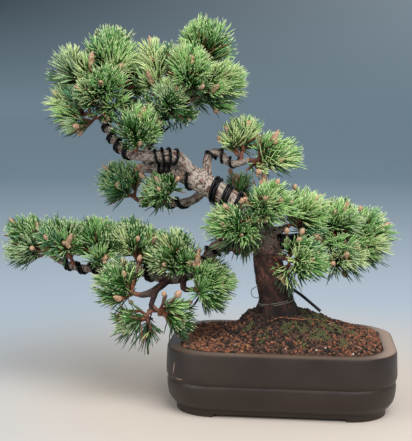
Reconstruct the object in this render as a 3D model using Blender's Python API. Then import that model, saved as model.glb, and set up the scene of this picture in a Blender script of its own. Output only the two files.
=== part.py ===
"""A wired pine bonsai in a shallow stoneware-coloured pot.

Lengths in this file are millimetres; solid() turns them to metres as it makes each object.
The frame is +Z up with the origin at the middle of the pot's flat underside. +X runs along the
pot's long side, away from the low left bough, and -Y is the side that the tree is shown from.
"""

import math
import random

import bmesh
import bpy
import numpy as np

MM = 0.001
GAP = 0.3  # clearance between touching pieces

# ---- pot ----
POT_WIDTH, POT_DEPTH, POT_HEIGHT = 300.0, 210.0, 84.0
POT_CORNER = 64.0
CORNER_STEPS = 5
LIP_WIDTH = 18.5
WALL = 8.0
FLOOR_TOP = 8.0
POCKET_DEPTH = 3.0
POCKET_SIZE = (92.0, 118.0)
POCKET_X = 66.0
DRAIN_RADIUS, DRAIN_SIDES = 9.0, 12
CUT_BELOW, CUT_ABOVE = 6.0, 12.0  # how far a cutter runs on past the pot's underside and floor
ARCH_HEIGHT, ARCH_DEPTH = 4.0, 26.0  # the openings between the feet, in from the pot's outline
ARCH_WIDTHS = (168.0, 84.0)  # along the long and the short sides
# (how far in from the widest outline, height), up the outside, over the lip and down the inside
POT_PROFILE = (
    (14.0, 0.0), (13.0, 8.0), (9.0, 12.0), (4.0, 19.0), (1.6, 30.0), (1.4, 39.5), (2.6, 43.0),
    (0.3, 47.5), (0.0, 56.0), (1.2, 80.0), (2.8, 83.2), (4.8, POT_HEIGHT),
    (LIP_WIDTH, 83.4), (LIP_WIDTH + 0.8, 78.5), (WALL + 0.5, 74.0), (WALL, 18.0),
    (WALL + 7.0, 10.0), (WALL + 16.0, FLOOR_TOP),
)

# ---- soil ----
GROUND = 119.0  # height of the trunk's flat cut
MOUND_FLAT = 37.0  # radius of the flat top that carries the trunk
MOUND_FALL, MOUND_LEAN = 43.0, 19.0  # how fast it falls away, more gently towards +X
MOUND_CURVE = 1.5
MOUND_MARGIN = 26.0  # inside the lip, where the mound comes down to the soil's edge
SOIL_EDGE, SOIL_RISE = 82.6, 0.8
LUMP_HEIGHT, LUMP_WAVES, LUMP_MARGIN = 1.6, (0.13, 0.16), 20.0
SOIL_RING_SHARES = (0.12, 0.26, 0.42, 0.62, 0.82, 1.0)  # from the soil's edge to the flat top
SOIL_CLEAR = GAP + 0.1
# (how far in, height), from the pot's floor up its inside to the soil's edge
SOIL_PROFILE = (
    (WALL + 16.5, FLOOR_TOP + SOIL_CLEAR), (WALL + 7.0, 10.5 + SOIL_CLEAR),
    (WALL, 18.0 + SOIL_CLEAR), (WALL + 0.5, 73.6 - SOIL_CLEAR),
    (LIP_WIDTH + 0.8, 78.1 - SOIL_CLEAR), (LIP_WIDTH + 1.0, SOIL_EDGE),
)

# ---- finishes: colour, roughness, metallic ----
FINISHES = {
    "stoneware": ((0.052, 0.036, 0.028), 0.45, 0.0),
    "akadama": ((0.16, 0.058, 0.03), 0.95, 0.0),
    "bark": ((0.21, 0.145, 0.105), 0.9, 0.0),
    "annealed_wire": ((0.012, 0.012, 0.013), 0.35, 0.6),
    "needles": ((0.045, 0.16, 0.035), 0.5, 0.0),
}

# ---- limbs: stations are (x, y, z, radius) ----
TRUNK = (
    (-6, 0, GROUND, 26.5), (-7, 0, 126, 24.5), (-10, 0, 145, 22.5), (-16, -1, 165, 21),
    (-20, -2, 187, 19.8), (-22, -3, 203, 19.2), (-27, -5, 221, 17.4), (-36, -8, 238, 15.4),
    (-52, -9, 256, 13.8), (-78, -5, 275, 13.4), (-102, 2, 287, 14.6), (-125, 8, 299, 14.6),
    (-152, 11, 307, 11.8), (-192, 13, 312, 9.0),
)
FLARE_HEIGHT, FLARE_LOBES, FLARE_SIZE, FLARE_TURN = 22.0, 5, 0.16, 0.6
# name: (host, where on the host from 0 to 1, stations after the one on the host's own line)
BOUGHS = {
    "leader": ("trunk", 0.735, 8.5, (
        (-138, -8, 323, 8.4), (-152, -14, 327, 8.2), (-170, -17, 327, 8), (-190, -14, 327, 7.6),
        (-209, -8, 331, 7.1), (-224, -2, 343, 6.6), (-235, 0, 360, 6), (-242, 1, 380, 5),
        (-243, 3, 400, 4.2), (-238, 5, 420, 3.4))),
    "crown_right_bough": ("leader", 0.42, 5.0, (
        (-176, -6, 344, 4.8), (-167, 4, 366, 4.5), (-153, 8, 388, 4.1), (-135, 6, 404, 3.7),
        (-118, 4, 412, 3.2))),
    "right_branch": ("trunk", 0.675, 6.4, (
        (-104, 10, 318, 6.2), (-97, 12, 330, 5.9), (-87, 13, 330, 5.6), (-79, 12, 321, 5.5),
        (-70, 10, 316, 5.2), (-59, 8, 318, 4.6), (-47, 8, 322, 3.8))),
    "mid_left_bough": ("trunk", 0.69, 6.8, (
        (-119, 22, 269, 6.5), (-137, 31, 261, 6.2), (-164, 38, 260, 5.7), (-189, 43, 260, 5),
        (-204, 45, 262, 3.8))),
    "left_bough": ("trunk", 0.335, 10.6, (
        (-54, 4, 206, 10), (-74, 6, 209, 9.7), (-92, 4, 202, 9.4), (-103, 0, 187, 9),
        (-116, -6, 174, 8.5), (-137, -10, 165, 8.2), (-157, -10, 163, 7.9), (-182, -6, 169, 7.4),
        (-213, 0, 175, 6.9), (-249, 4, 172, 6.1), (-279, 4, 172, 5.2), (-301, 2, 180, 4.2),
        (-319, 0, 191, 3.3))),
    "front_left_bough": ("left_bough", 0.455, 5.4, (
        (-166, -24, 151, 5.2), (-177, -34, 146, 4.8), (-187, -40, 145, 4.0))),
    "front_low_bough": ("front_left_bough", 0.45, 4.0, (
        (-171, -38, 134, 3.8), (-170, -42, 125, 3.3))),
    "front_right_bough": ("left_bough", 0.395, 4.6, (
        (-131, -20, 152, 4.2), (-120, -25, 151, 3.4))),
    "right_bough": ("trunk", 0.36, 8.8, (
        (-1, 5, 212, 8.4), (18, 14, 214, 8), (42, 20, 211, 7.2), (62, 22, 211, 6.2),
        (77, 22, 213, 5))),
    "right_front_bough": ("trunk", 0.315, 6.4, (
        (-9, -18, 200, 6), (3, -28, 198, 5.0))),
    "right_top_bough": ("trunk", 0.41, 6.0, ((-11, -5, 230, 5.6), (5, -5, 235, 4.4))),
}
TRUNK_SIDES, BOUGH_SIDES = 12, 7
TRUNK_RING_STEP, RING_STEP = 13.5, 14.5
LINE_STEPS = 24  # between two stations, when a limb's line is drawn
STEEPEST = 0.3  # a line that runs nearer than this to Y is framed from X
CARVE_LIFT = 0.05  # beyond GAP, between a bough's or stem's foot and its host
SAMPLE_STEP = 3.0  # between the places where a limb's thickness is kept clear

# ---- wire: (limb it winds on, from, to, turns, wire radius) ----
WIRES = {
    "trunk_wire": ("trunk", 0.50, 0.645, 2.5, 2.3),
    "stub_wire": ("trunk", 0.865, 0.935, 3.0, 2.1),
    "leader_wire": ("leader", 0.20, 0.36, 4.0, 1.9),
    "leader_tip_wire": ("leader", 0.50, 0.75, 3.5, 1.6),
    "crown_right_wire": ("crown_right_bough", 0.30, 0.82, 3.5, 1.4),
    "right_branch_wire": ("right_branch", 0.40, 0.85, 3.0, 1.8),
    "left_bough_wire": ("left_bough", 0.12, 0.34, 4.5, 2.0),
    "left_outer_wire": ("left_bough", 0.53, 0.92, 6.5, 1.8),
    "mid_left_wire": ("mid_left_bough", 0.42, 0.90, 3.0, 1.6),
    "right_bough_wire": ("right_bough", 0.32, 0.50, 3.5, 1.6),
}
WIRE_SIDES, WIRE_STEPS_A_TURN = 4, 8
WIRE_LIFT = 0.1  # beyond GAP, between a wire and its limb's bark
WIRE_CLEARANCE = 0.9  # between a wire and a limb or stem that passes it
SEAT_STEP, SEAT_TRIES, SEAT_SAMPLES = 0.002, 61, 40  # the search for a seat clear of wire

# ---- foliage: (host limb, where on it, centre, reach, shoots) ----
MASSES = {
    "crown_peak": ("leader", 1.0, (-228, 6, 460), 42, 5),
    "crown_far_left": ("leader", 0.90, (-283, -8, 432), 40, 4),
    "crown_low_left": ("leader", 0.78, (-287, 2, 386), 41, 4),
    "crown_heart": ("leader", 0.86, (-234, -38, 408), 38, 4),
    "crown_back": ("leader", 0.88, (-214, 48, 420), 43, 3),
    "crown_front": ("leader", 0.47, (-188, -42, 364), 37, 4),
    "crown_fan": ("crown_right_bough", 0.62, (-150, -30, 392), 38, 4),
    "crown_mid": ("crown_right_bough", 0.70, (-172, 10, 444), 40, 4),
    "crown_middle_right": ("crown_right_bough", 0.85, (-126, -32, 436), 38, 4),
    "crown_summit": ("crown_right_bough", 0.95, (-105, 10, 472), 40, 4),
    "crown_right": ("crown_right_bough", 1.0, (-84, -4, 418), 39, 4),
    "crown_right_back": ("crown_right_bough", 0.80, (-134, 50, 404), 40, 4),
    "right_tip": ("right_branch", 1.0, (-14, 4, 320), 41, 4),
    "right_tip_top": ("right_branch", 0.86, (-54, 10, 348), 35, 3),
    "mid_left_tip": ("mid_left_bough", 1.0, (-227, 42, 281), 38, 4),
    "mid_left": ("mid_left_bough", 0.58, (-160, 6, 277), 35, 3),
    "left_tip": ("left_bough", 1.0, (-351, -4, 207), 38, 5),
    "left_outer": ("left_bough", 0.90, (-297, -16, 211), 40, 4),
    "left_middle": ("left_bough", 0.77, (-250, -10, 209), 42, 4),
    "left_inner": ("left_bough", 0.60, (-203, 4, 206), 40, 4),
    "left_heart": ("left_bough", 0.39, (-144, -24, 196), 40, 4),
    "left_low_back": ("left_bough", 0.48, (-168, 44, 180), 40, 3),
    "front_left": ("front_left_bough", 1.0, (-214, -48, 158), 38, 4),
    "front_low": ("front_low_bough", 1.0, (-188, -56, 108), 37, 3),
    "front_low_right": ("front_low_bough", 0.8, (-144, -44, 114), 35, 3),
    "front_right": ("front_right_bough", 1.0, (-92, -34, 158), 38, 4),
    "trunk_front": ("trunk", 0.43, (-66, -44, 232), 40, 5),
    "trunk_top": ("trunk", 0.47, (-14, -36, 261), 39, 4),
    "trunk_back": ("trunk", 0.52, (-62, 50, 262), 40, 3),
    "right_high": ("right_top_bough", 1.0, (28, -12, 250), 40, 5),
    "right_mid": ("right_bough", 0.72, (70, -2, 238), 39, 4),
    "right_end": ("right_bough", 1.0, (113, 18, 218), 43, 5),
    "right_under": ("right_bough", 0.76, (76, -28, 197), 36, 3),
    "right_low": ("right_front_bough", 1.0, (24, -54, 190), 40, 5),
    "right_back": ("right_bough", 0.52, (38, 62, 222), 42, 3),
}
STEM_RADIUS, TWIG_RADIUS = 2.7, 2.1
STEM_TAPER = (1.1, 0.9)  # of the radius, from foot to heart
STEM_SIDES, TWIG_SIDES = 5, 3
STEM_OVERLAP, TWIG_OVERLAP = 1.5, (0.8, 3.5)  # how deep fused pieces run into each other
STEM_END = 0.985  # a stem at a limb's tip starts this far along it
HEART = 0.38  # how far short of a mass's centre its stem ends, as a share of the reach
TWIG_SPREAD = (42.0, 72.0)  # degrees off the stem, from the highest twig to the lowest
TWIG_LENGTH = 0.26  # share of the reach
STRAIGHT_TWIG = 0.5  # of that, for a twig that runs on from the stem
TWIG_SHORTENING = 0.05  # of the length, at each try that finds no room
TWIG_JITTER = 5.0  # degrees
TWIG_SIDE, SHOOT_SIDE = (0.13, 0.31, 0.94), (0.3, 0.9, 0.27)  # no twig or shoot runs along these
KEEP_STEP = 2.0  # between the places on a twig or needle that others keep clear of
STEM_PITCH = 0.17  # between twigs down the stem, as a share of the reach
TWIG_TRIES = 12
UPWARD = 0.14
SHOOT_RADIUS, SHOOT_LENGTH = 3.9, 15.0
SHOOT_SIDES, SHOOT_BANDS = 4, 2
SHOOT_TAPER, SHOOT_POINT = 0.35, 2.5
NEEDLE_LENGTH = 34.0
NEEDLE_JITTER = 3.0  # degrees
NEEDLE_VARIETY = (0.86, 1.04)
NEEDLE_CUTS = (1.0, 0.86, 0.72, 0.58)  # a needle without room is tried shorter
NEEDLE_WIDTH, NEEDLE_TIP_WIDTH = 1.6, 0.25
NEEDLE_KEEP = (0.2, 0.9)  # from this share of it on, a needle keeps others this far off
NEEDLE_START, NEEDLE_SAMPLES = 0.12, 9  # where along it a needle is tried for room
NEEDLE_SPREAD = (82.0, 30.0)  # degrees off the shoot at its foot and near its tip
TIP_SPREAD = 15.0
GOLDEN_ANGLE = 137.508
NEEDLE_CLEARANCE = 0.4
CORE_CLEARANCE = 0.6
OUTSIDE_REACH = 1.06  # how far a needle may stand out of its mass's ball
NEIGHBOUR_MARGIN = 0.8  # between a needle and the plane to the next mass
POT_MARGIN = 2.0


def unit(v):
    """v as a vector of length 1."""
    v = np.asarray(v, float)
    return v / np.linalg.norm(v)


def smooth_line(stations, count):
    """count points, evenly spaced by length, on a Catmull-Rom curve through stations."""
    s = np.asarray(stations, float)
    s = np.vstack([2 * s[0] - s[1], s, 2 * s[-1] - s[-2]])
    dense = []
    for a, b, c, d in zip(s[:-3], s[1:-2], s[2:-1], s[3:]):
        for t in np.linspace(0, 1, LINE_STEPS, endpoint=False):
            dense.append(0.5 * (2 * b + (c - a) * t + (2 * a - 5 * b + 4 * c - d) * t ** 2
                                + (3 * b - a - 3 * c + d) * t ** 3))
    dense = np.array(dense + [s[-2]])
    length = np.r_[0, np.cumsum(np.linalg.norm(np.diff(dense[:, :3], axis=0), axis=1))]
    at = np.linspace(0, length[-1], count)
    return np.stack([np.interp(at, length, column) for column in dense.T], 1), length[-1]


def frames(points):
    """Tangent, normal and binormal at each point of a line, with as little twist as possible."""
    tangents = np.gradient(points, axis=0)
    tangents /= np.linalg.norm(tangents, axis=1)[:, None]
    side = np.cross(tangents[0], (0.0, 1.0, 0.0))
    if np.linalg.norm(side) < STEEPEST:
        side = np.cross(tangents[0], (1.0, 0.0, 0.0))
    normals = [unit(side)]
    for t in tangents[1:]:
        n = normals[-1] - t * np.dot(normals[-1], t)
        normals.append(unit(n))
    normals = np.array(normals)
    return tangents, normals, np.cross(tangents, normals)


class Limb:
    """A tapering limb: rings along a smooth line, with a frame and a radius at each."""

    def __init__(self, stations, sides, ring_step, flared=False):
        length = smooth_line(stations, 3)[1]
        self.count = max(3, round(length / ring_step) + 1)
        line, self.length = smooth_line(stations, self.count)
        self.points, self.radii = line[:, :3], line[:, 3]
        self.tangents, self.normals, self.binormals = frames(self.points)
        self.sides, self.flared = sides, flared

    def at(self, share):
        """Point, tangent, normal, binormal and radius at a share of the length."""
        ring = share * (self.count - 1)
        k = np.arange(self.count)
        vectors = (self.points, self.tangents, self.normals, self.binormals)
        found = [np.array([np.interp(ring, k, column) for column in rows.T]) for rows in vectors]
        return found + [np.interp(ring, k, self.radii)]

    def round_at(self, share, angle, reach):
        """The place at a distance from the limb's line, in the direction of angle round it."""
        p, _, n, b, _ = self.at(share)
        return p + reach * (math.cos(angle) * n + math.sin(angle) * b)

    def rings(self, grow=0.0):
        """Rings of corners along the limb; grow makes them wider and the ends longer."""
        made = []
        for j in range(self.count):
            p, r, tangent = self.points[j], self.radii[j], self.tangents[j]
            n, b = self.normals[j], self.binormals[j]
            if self.flared and j == 0:
                tangent = np.array((0.0, 0.0, 1.0))
                n = unit(n * (1, 1, 0))
                b = np.cross(tangent, n)
            p = p + tangent * grow * ((j == self.count - 1) - (j == 0))
            ring = []
            for k in range(self.sides):
                angle = 2 * math.pi * k / self.sides
                swell = 1.0 + (self.flare(p[2], angle) if self.flared else 0.0)
                ring.append(p + (r * swell + grow) * (math.cos(angle) * n + math.sin(angle) * b))
            made.append(ring)
        return made

    def flare(self, height, angle):
        """How far the foot of the trunk swells into root lobes."""
        share = max(0.0, 1.0 - (height - GROUND) / FLARE_HEIGHT)
        return FLARE_SIZE * share ** 1.5 * (1.0 + math.cos(FLARE_LOBES * angle + FLARE_TURN))


def skin(rings):
    """Corners and faces of a closed tube through rings of equal count."""
    n = len(rings[0])
    corners = [tuple(p) for ring in rings for p in ring]
    faces = [tuple(range(n - 1, -1, -1))]
    for j in range(len(rings) - 1):
        for k in range(n):
            a, b = j * n + k, j * n + (k + 1) % n
            faces.append((a, b, b + n, a + n))
    last = (len(rings) - 1) * n
    faces.append(tuple(range(last, last + n)))
    return corners, faces


def sweep(points, radii, sides):
    """Corners and faces of a closed tube along a line."""
    points = np.asarray(points, float)
    _, normals, binormals = frames(points)
    angles = [2 * math.pi * k / sides for k in range(sides)]
    return skin([[p + r * (math.cos(a) * n + math.sin(a) * b) for a in angles]
                 for p, r, n, b in zip(points, radii, normals, binormals)])


def solid(name, corners, faces, material=None, smooth=True):
    """A mesh object from corners in millimetres, its faces turned outwards."""
    mesh = bpy.data.meshes.new(name)
    mesh.from_pydata([tuple(c * MM for c in corner) for corner in corners], [], faces)
    work = bmesh.new()
    work.from_mesh(mesh)
    bmesh.ops.recalc_face_normals(work, faces=work.faces[:])
    work.to_mesh(mesh)
    work.free()
    made = bpy.data.objects.new(name, mesh)
    bpy.context.scene.collection.objects.link(made)
    if material:
        mesh.materials.append(material)
    if smooth:
        mesh.shade_smooth()
        mesh.set_sharp_from_angle(angle=math.radians(40))
    return made


def boolean(target, operation, cutter=None, collection=None):
    """Applies one Boolean to target and removes what it was joined with or cut by."""
    modifier = target.modifiers.new(operation.lower(), "BOOLEAN")
    modifier.operation = operation
    modifier.solver = "EXACT"
    if cutter:
        modifier.object = cutter
        used = [cutter]
    else:
        modifier.operand_type = "COLLECTION"
        modifier.collection = collection
        used = list(collection.objects)
    bpy.context.view_layer.update()
    graph = bpy.context.evaluated_depsgraph_get()
    result = bpy.data.meshes.new_from_object(target.evaluated_get(graph))
    target.modifiers.remove(modifier)
    target.data = result
    for other in used:
        bpy.data.objects.remove(other)
    if collection:
        bpy.data.collections.remove(collection)


def finish(name):
    """A Principled material of one colour."""
    colour, roughness, metallic = FINISHES[name]
    made = bpy.data.materials.new(name)
    made.use_nodes = True
    shader = made.node_tree.nodes["Principled BSDF"]
    shader.inputs["Base Color"].default_value = (*colour, 1.0)
    shader.inputs["Roughness"].default_value = roughness
    shader.inputs["Metallic"].default_value = metallic
    return made


# ---------------------------------------------------------------- pot and soil


def outline(inset):
    """The pot's rounded rectangle, moved in by inset, as a loop of corners."""
    half_w, half_d = POT_WIDTH / 2 - inset, POT_DEPTH / 2 - inset
    radius = POT_CORNER - inset
    loop = []
    for quarter, (sx, sy) in enumerate(((1, 1), (-1, 1), (-1, -1), (1, -1))):
        for k in range(CORNER_STEPS + 1):
            angle = math.pi / 2 * (quarter + k / CORNER_STEPS)
            loop.append((sx * (half_w - radius) + radius * math.cos(angle),
                         sy * (half_d - radius) + radius * math.sin(angle)))
    return loop


def recess(target, centre, size, height):
    """Cuts a box of this size and height out of target's underside."""
    x, y = centre
    w, d = size[0] / 2, size[1] / 2
    flat = ((x - w, y - d), (x + w, y - d), (x + w, y + d), (x - w, y + d))
    rings = [[(a, b, z) for a, b in flat] for z in (-CUT_BELOW, height)]
    cutter = solid("cutter_recess", *skin(rings))
    boolean(target, "DIFFERENCE", cutter)


def make_pot(material):
    """The pot: one skin from underside to floor, cut from below by pockets, drains and arches."""
    rings = [[(x, y, z) for x, y in outline(inset)] for inset, z in POT_PROFILE]
    pot = solid("pot", *skin(rings), material)
    for side in (-1, 1):
        recess(pot, (side * POCKET_X, 0), POCKET_SIZE, POCKET_DEPTH)
        recess(pot, (0, side * POT_DEPTH / 2), (ARCH_WIDTHS[0], 2 * ARCH_DEPTH), ARCH_HEIGHT)
        recess(pot, (side * POT_WIDTH / 2, 0), (2 * ARCH_DEPTH, ARCH_WIDTHS[1]), ARCH_HEIGHT)
        ends = [(side * POCKET_X, 0, z) for z in (-CUT_BELOW, FLOOR_TOP + CUT_ABOVE)]
        drain = sweep(ends, (DRAIN_RADIUS, DRAIN_RADIUS), DRAIN_SIDES)
        boolean(pot, "DIFFERENCE", solid("cutter_drain", *drain))
    return pot


def inside_lip(x, y):
    """How far a place is inside the lip's inner edge, and at most that edge's corner radius."""
    radius = POT_CORNER - LIP_WIDTH
    past_x = max(0.0, abs(x) - (POT_WIDTH / 2 - POT_CORNER))
    past_y = max(0.0, abs(y) - (POT_DEPTH / 2 - POT_CORNER))
    return radius - math.hypot(past_x, past_y)


def mound(x, y):
    """Height of the soil at a place inside the pot."""
    away = math.hypot(x - TRUNK[0][0], y - TRUNK[0][1])
    past = max(0.0, away - MOUND_FLAT)
    fall = MOUND_FALL + MOUND_LEAN * (x - TRUNK[0][0]) / max(away, 1.0)
    margin = min(1.0, max(0.0, inside_lip(x, y) / MOUND_MARGIN))
    rise = math.exp(-(past / fall) ** MOUND_CURVE) * margin * (2.0 - margin)
    wave = math.sin(x * LUMP_WAVES[0] + 1.0) * math.cos(y * LUMP_WAVES[1])
    lump = LUMP_HEIGHT * wave * min(1.0, past / LUMP_MARGIN) * margin
    edge = SOIL_EDGE + SOIL_RISE
    return edge + (GROUND - GAP - edge) * rise + lump


def make_soil(material):
    """The root ball: it fills the pot under the lip and rises in a mound to the trunk's foot."""
    rings = [[(x, y, z) for x, y in outline(inset + SOIL_CLEAR)] for inset, z in SOIL_PROFILE]
    edge = outline(SOIL_PROFILE[-1][0] + SOIL_CLEAR)
    foot = TRUNK[0]
    for share in SOIL_RING_SHARES:
        ring = []
        for x, y in edge:
            angle = math.atan2(y - foot[1], x - foot[0])
            cx = foot[0] + MOUND_FLAT * math.cos(angle)
            cy = foot[1] + MOUND_FLAT * math.sin(angle)
            px, py = x + (cx - x) * share, y + (cy - y) * share
            ring.append((px, py, GROUND - GAP if share == 1.0 else mound(px, py)))
        rings.append(ring)
    return solid("soil", *skin(rings), material)


# ---------------------------------------------------------------- trunk, boughs and wire


def grow_limbs():
    """Every limb as a Limb, each bough starting on its host's own line."""
    limbs = {"trunk": Limb(TRUNK, TRUNK_SIDES, TRUNK_RING_STEP, flared=True)}
    for name, (host, where, radius, stations) in BOUGHS.items():
        where = between_turns(limbs, host, where, stations[0][:3], radius)
        start = limbs[host].at(where)[0]
        limbs[name] = Limb(((*start, radius), *stations), BOUGH_SIDES, RING_STEP)
    return limbs


def carve_from(target, host):
    """Cuts target back so that it meets its host with the standard gap."""
    grow = (GAP + CARVE_LIFT) / math.cos(math.pi / host.sides)
    boolean(target, "DIFFERENCE", solid("cutter_host", *skin(host.rings(grow))))


def make_limbs(limbs, material):
    """The trunk and the boughs."""
    for name, limb in limbs.items():
        made = solid(name, *skin(limb.rings()), material)
        if name in BOUGHS:
            carve_from(made, limbs[BOUGHS[name][0]])


def wire_line(limbs, name):
    """The middle of a wire: a helix just off its limb's bark."""
    limb, start, end, turns, radius = WIRES[name]
    line = []
    for k in range(round(turns * WIRE_STEPS_A_TURN) + 1):
        angle = 2 * math.pi * k / WIRE_STEPS_A_TURN
        share = start + (end - start) * angle / (2 * math.pi * turns)
        clear = limbs[limb].at(share)[4] + radius + GAP + WIRE_LIFT
        reach = clear / math.cos(math.pi / WIRE_STEPS_A_TURN)
        line.append(limbs[limb].round_at(share, angle, reach))
    return np.array(line)


def make_wires(limbs, material):
    """Each wire as one open coil."""
    for name, (_, _, _, _, radius) in WIRES.items():
        line = wire_line(limbs, name)
        solid(name, *sweep(line, [radius] * len(line), WIRE_SIDES), material)


def between_turns(limbs, host, where, target, radius):
    """The share of the host nearest to where, from which a stem to target misses all wire."""
    coils = [(wire_line(limbs, name), wire[4]) for name, wire in WIRES.items() if wire[0] in limbs]
    shares = np.linspace(0, 1, SEAT_SAMPLES)[:, None]
    for step in range(SEAT_TRIES):
        for share in (where - SEAT_STEP * step, where + SEAT_STEP * step):
            share = min(max(share, 0.0), 1.0)
            start = limbs[host].at(share)[0]
            line = start + (np.asarray(target, float) - start) * shares
            if all(apart(line, coil) > radius + thick + WIRE_CLEARANCE for coil, thick in coils):
                return share
    raise ValueError(f"no way past the wire from {host} at {where}")


def apart(line, other):
    """The least distance between the points of one line and the stretches of another."""
    a, b = other[:-1], other[1:]
    along = b - a
    share = np.einsum("ijk,jk->ij", line[:, None] - a, along) / np.einsum("jk,jk->j", along, along)
    nearest = a + along * np.clip(share, 0, 1)[..., None]
    return np.linalg.norm(line[:, None] - nearest, axis=2).min()


# ---------------------------------------------------------------- foliage


def stem_of(name, limbs):
    """Root and heart of a mass's stem, and the length of it that stands clear of the limb."""
    host, where, centre, reach, _ = MASSES[name]
    centre = np.array(centre, float)
    where = between_turns(limbs, host, min(where, STEM_END), centre, STEM_RADIUS)
    root, _, _, _, bark = limbs[host].at(where)
    heart = centre - unit(centre - root) * reach * HEART
    return root, heart, max(0.0, np.linalg.norm(heart - root) - bark - SHOOT_RADIUS)


def twigs_of(name, stem, space):
    """A mass's twigs as (start, foot, direction of the shoot), turning by a seeded rule."""
    root, heart, room = stem
    _, _, _, reach, count = MASSES[name]
    rule = random.Random(name)
    leader = unit(heart - root)
    across = unit(np.cross(leader, TWIG_SIDE))
    up = np.cross(across, leader)
    turn = rule.uniform(0, 360)
    twigs = []
    for k in range(count):
        share = k / max(1, count - 1)
        spread = TWIG_SPREAD[0] + (TWIG_SPREAD[1] - TWIG_SPREAD[0]) * share
        runs_on = k == 0 and count > 2
        spread += 0 if runs_on else rule.uniform(-TWIG_JITTER, TWIG_JITTER)
        lean = 0.0 if runs_on else math.radians(spread)
        start = heart - leader * min(room, reach * STEM_PITCH * k)
        length = reach * TWIG_LENGTH * (STRAIGHT_TWIG if lean == 0 else 1.0)
        for attempt in range(TWIG_TRIES):
            spin = math.radians(turn)
            turn += GOLDEN_ANGLE
            side = math.cos(spin) * across + math.sin(spin) * up
            away = unit(math.cos(lean) * leader + math.sin(lean) * side + (0, 0, UPWARD))
            foot = start + away * length * (1.0 - TWIG_SHORTENING * attempt)
            if space.room_for_shoot(name, foot, foot + away * SHOOT_LENGTH):
                space.add_line(start, foot, TWIG_RADIUS, name)
                space.add_line(foot, foot + away * SHOOT_LENGTH, SHOOT_RADIUS, (name, len(twigs)))
                space.settle()
                twigs.append((start, foot, away))
                break
    return twigs


class Space:
    """The room that each mass keeps to, and everything that its twigs and needles have to miss."""

    def __init__(self, limbs, stems):
        self.blocks = []  # rows of x, y, z, radius
        self.owners = []
        for name, limb in limbs.items():
            for share in np.linspace(0, 1, round(limb.length / SAMPLE_STEP) + 2):
                point, _, _, _, radius = limb.at(share)
                self.add(point, radius, name)
        for name, (_, _, _, _, radius) in WIRES.items():
            coil = wire_line(limbs, name)
            for start, end in zip(coil[:-1], coil[1:]):
                self.add_line(start, end, radius, name)
        for name, (root, heart, _) in stems.items():
            self.add_line(root, heart, STEM_RADIUS, name)
        self.settle()

    def add(self, point, radius, owner):
        self.blocks.append((*point, radius))
        self.owners.append(owner)

    def add_line(self, start, end, radius, owner):
        steps = round(np.linalg.norm(end - start) / KEEP_STEP)
        for t in np.linspace(0, 1, max(2, steps + 1)):
            self.add(start + (end - start) * t, radius, owner)

    def settle(self):
        self.array = np.array(self.blocks, float)

    def inside(self, name, point):
        """Whether a point is in the mass's room: its ball, cut by planes to its neighbours."""
        centre, reach = np.array(MASSES[name][2], float), MASSES[name][3]
        own = np.dot(point - centre, point - centre) - reach ** 2
        if own > (OUTSIDE_REACH ** 2 - 1) * reach ** 2:
            return False
        for other, (_, _, middle, span, _) in MASSES.items():
            if other == name:
                continue
            middle = np.array(middle, float)
            theirs = np.dot(point - middle, point - middle) - span ** 2
            if theirs - own < 2 * np.linalg.norm(middle - centre) * NEIGHBOUR_MARGIN:
                return False
        return True

    def over_pot(self, point):
        """Whether a point is clear of the pot and the soil."""
        x, y, z = point
        if abs(x) > POT_WIDTH / 2 + POT_MARGIN or abs(y) > POT_DEPTH / 2 + POT_MARGIN:
            return True
        return z > max(POT_HEIGHT, mound(x, y)) + POT_MARGIN

    def room_for_shoot(self, name, foot, tip):
        """Whether a shoot's core stays in its room, clear of all but its own stem and twigs."""
        line = np.vstack([foot + (tip - foot) * share for share in np.linspace(0, 1, 8)])
        if not all(self.inside(name, point) and self.over_pot(point) for point in line):
            return False
        foreign = np.array([owner != name for owner in self.owners])
        apart = np.linalg.norm(self.array[foreign, :3] - line[:, None], axis=2)
        return bool((apart > self.array[foreign, 3] + SHOOT_RADIUS + CORE_CLEARANCE).all())

    def free(self, name, shoot, foot, tip, width):
        """Whether a needle from foot to tip stays in its room and touches nothing."""
        shares = np.linspace(NEEDLE_START, 1.0, NEEDLE_SAMPLES)
        line = foot + (tip - foot) * shares[:, None]
        if not self.inside(name, tip) or not self.inside(name, line[0]):
            return False
        if not all(self.over_pot(p) for p in line):
            return False
        radii = width * (1 - shares) + NEEDLE_TIP_WIDTH
        apart = np.linalg.norm(self.array[None, :, :3] - line[:, None], axis=2)
        touch = apart < self.array[None, :, 3] + radii[:, None] + NEEDLE_CLEARANCE
        for owner_index in set(np.nonzero(touch.any(axis=0))[0]):
            if self.owners[owner_index] not in (name, (name, shoot)):
                return False
        return True


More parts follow.
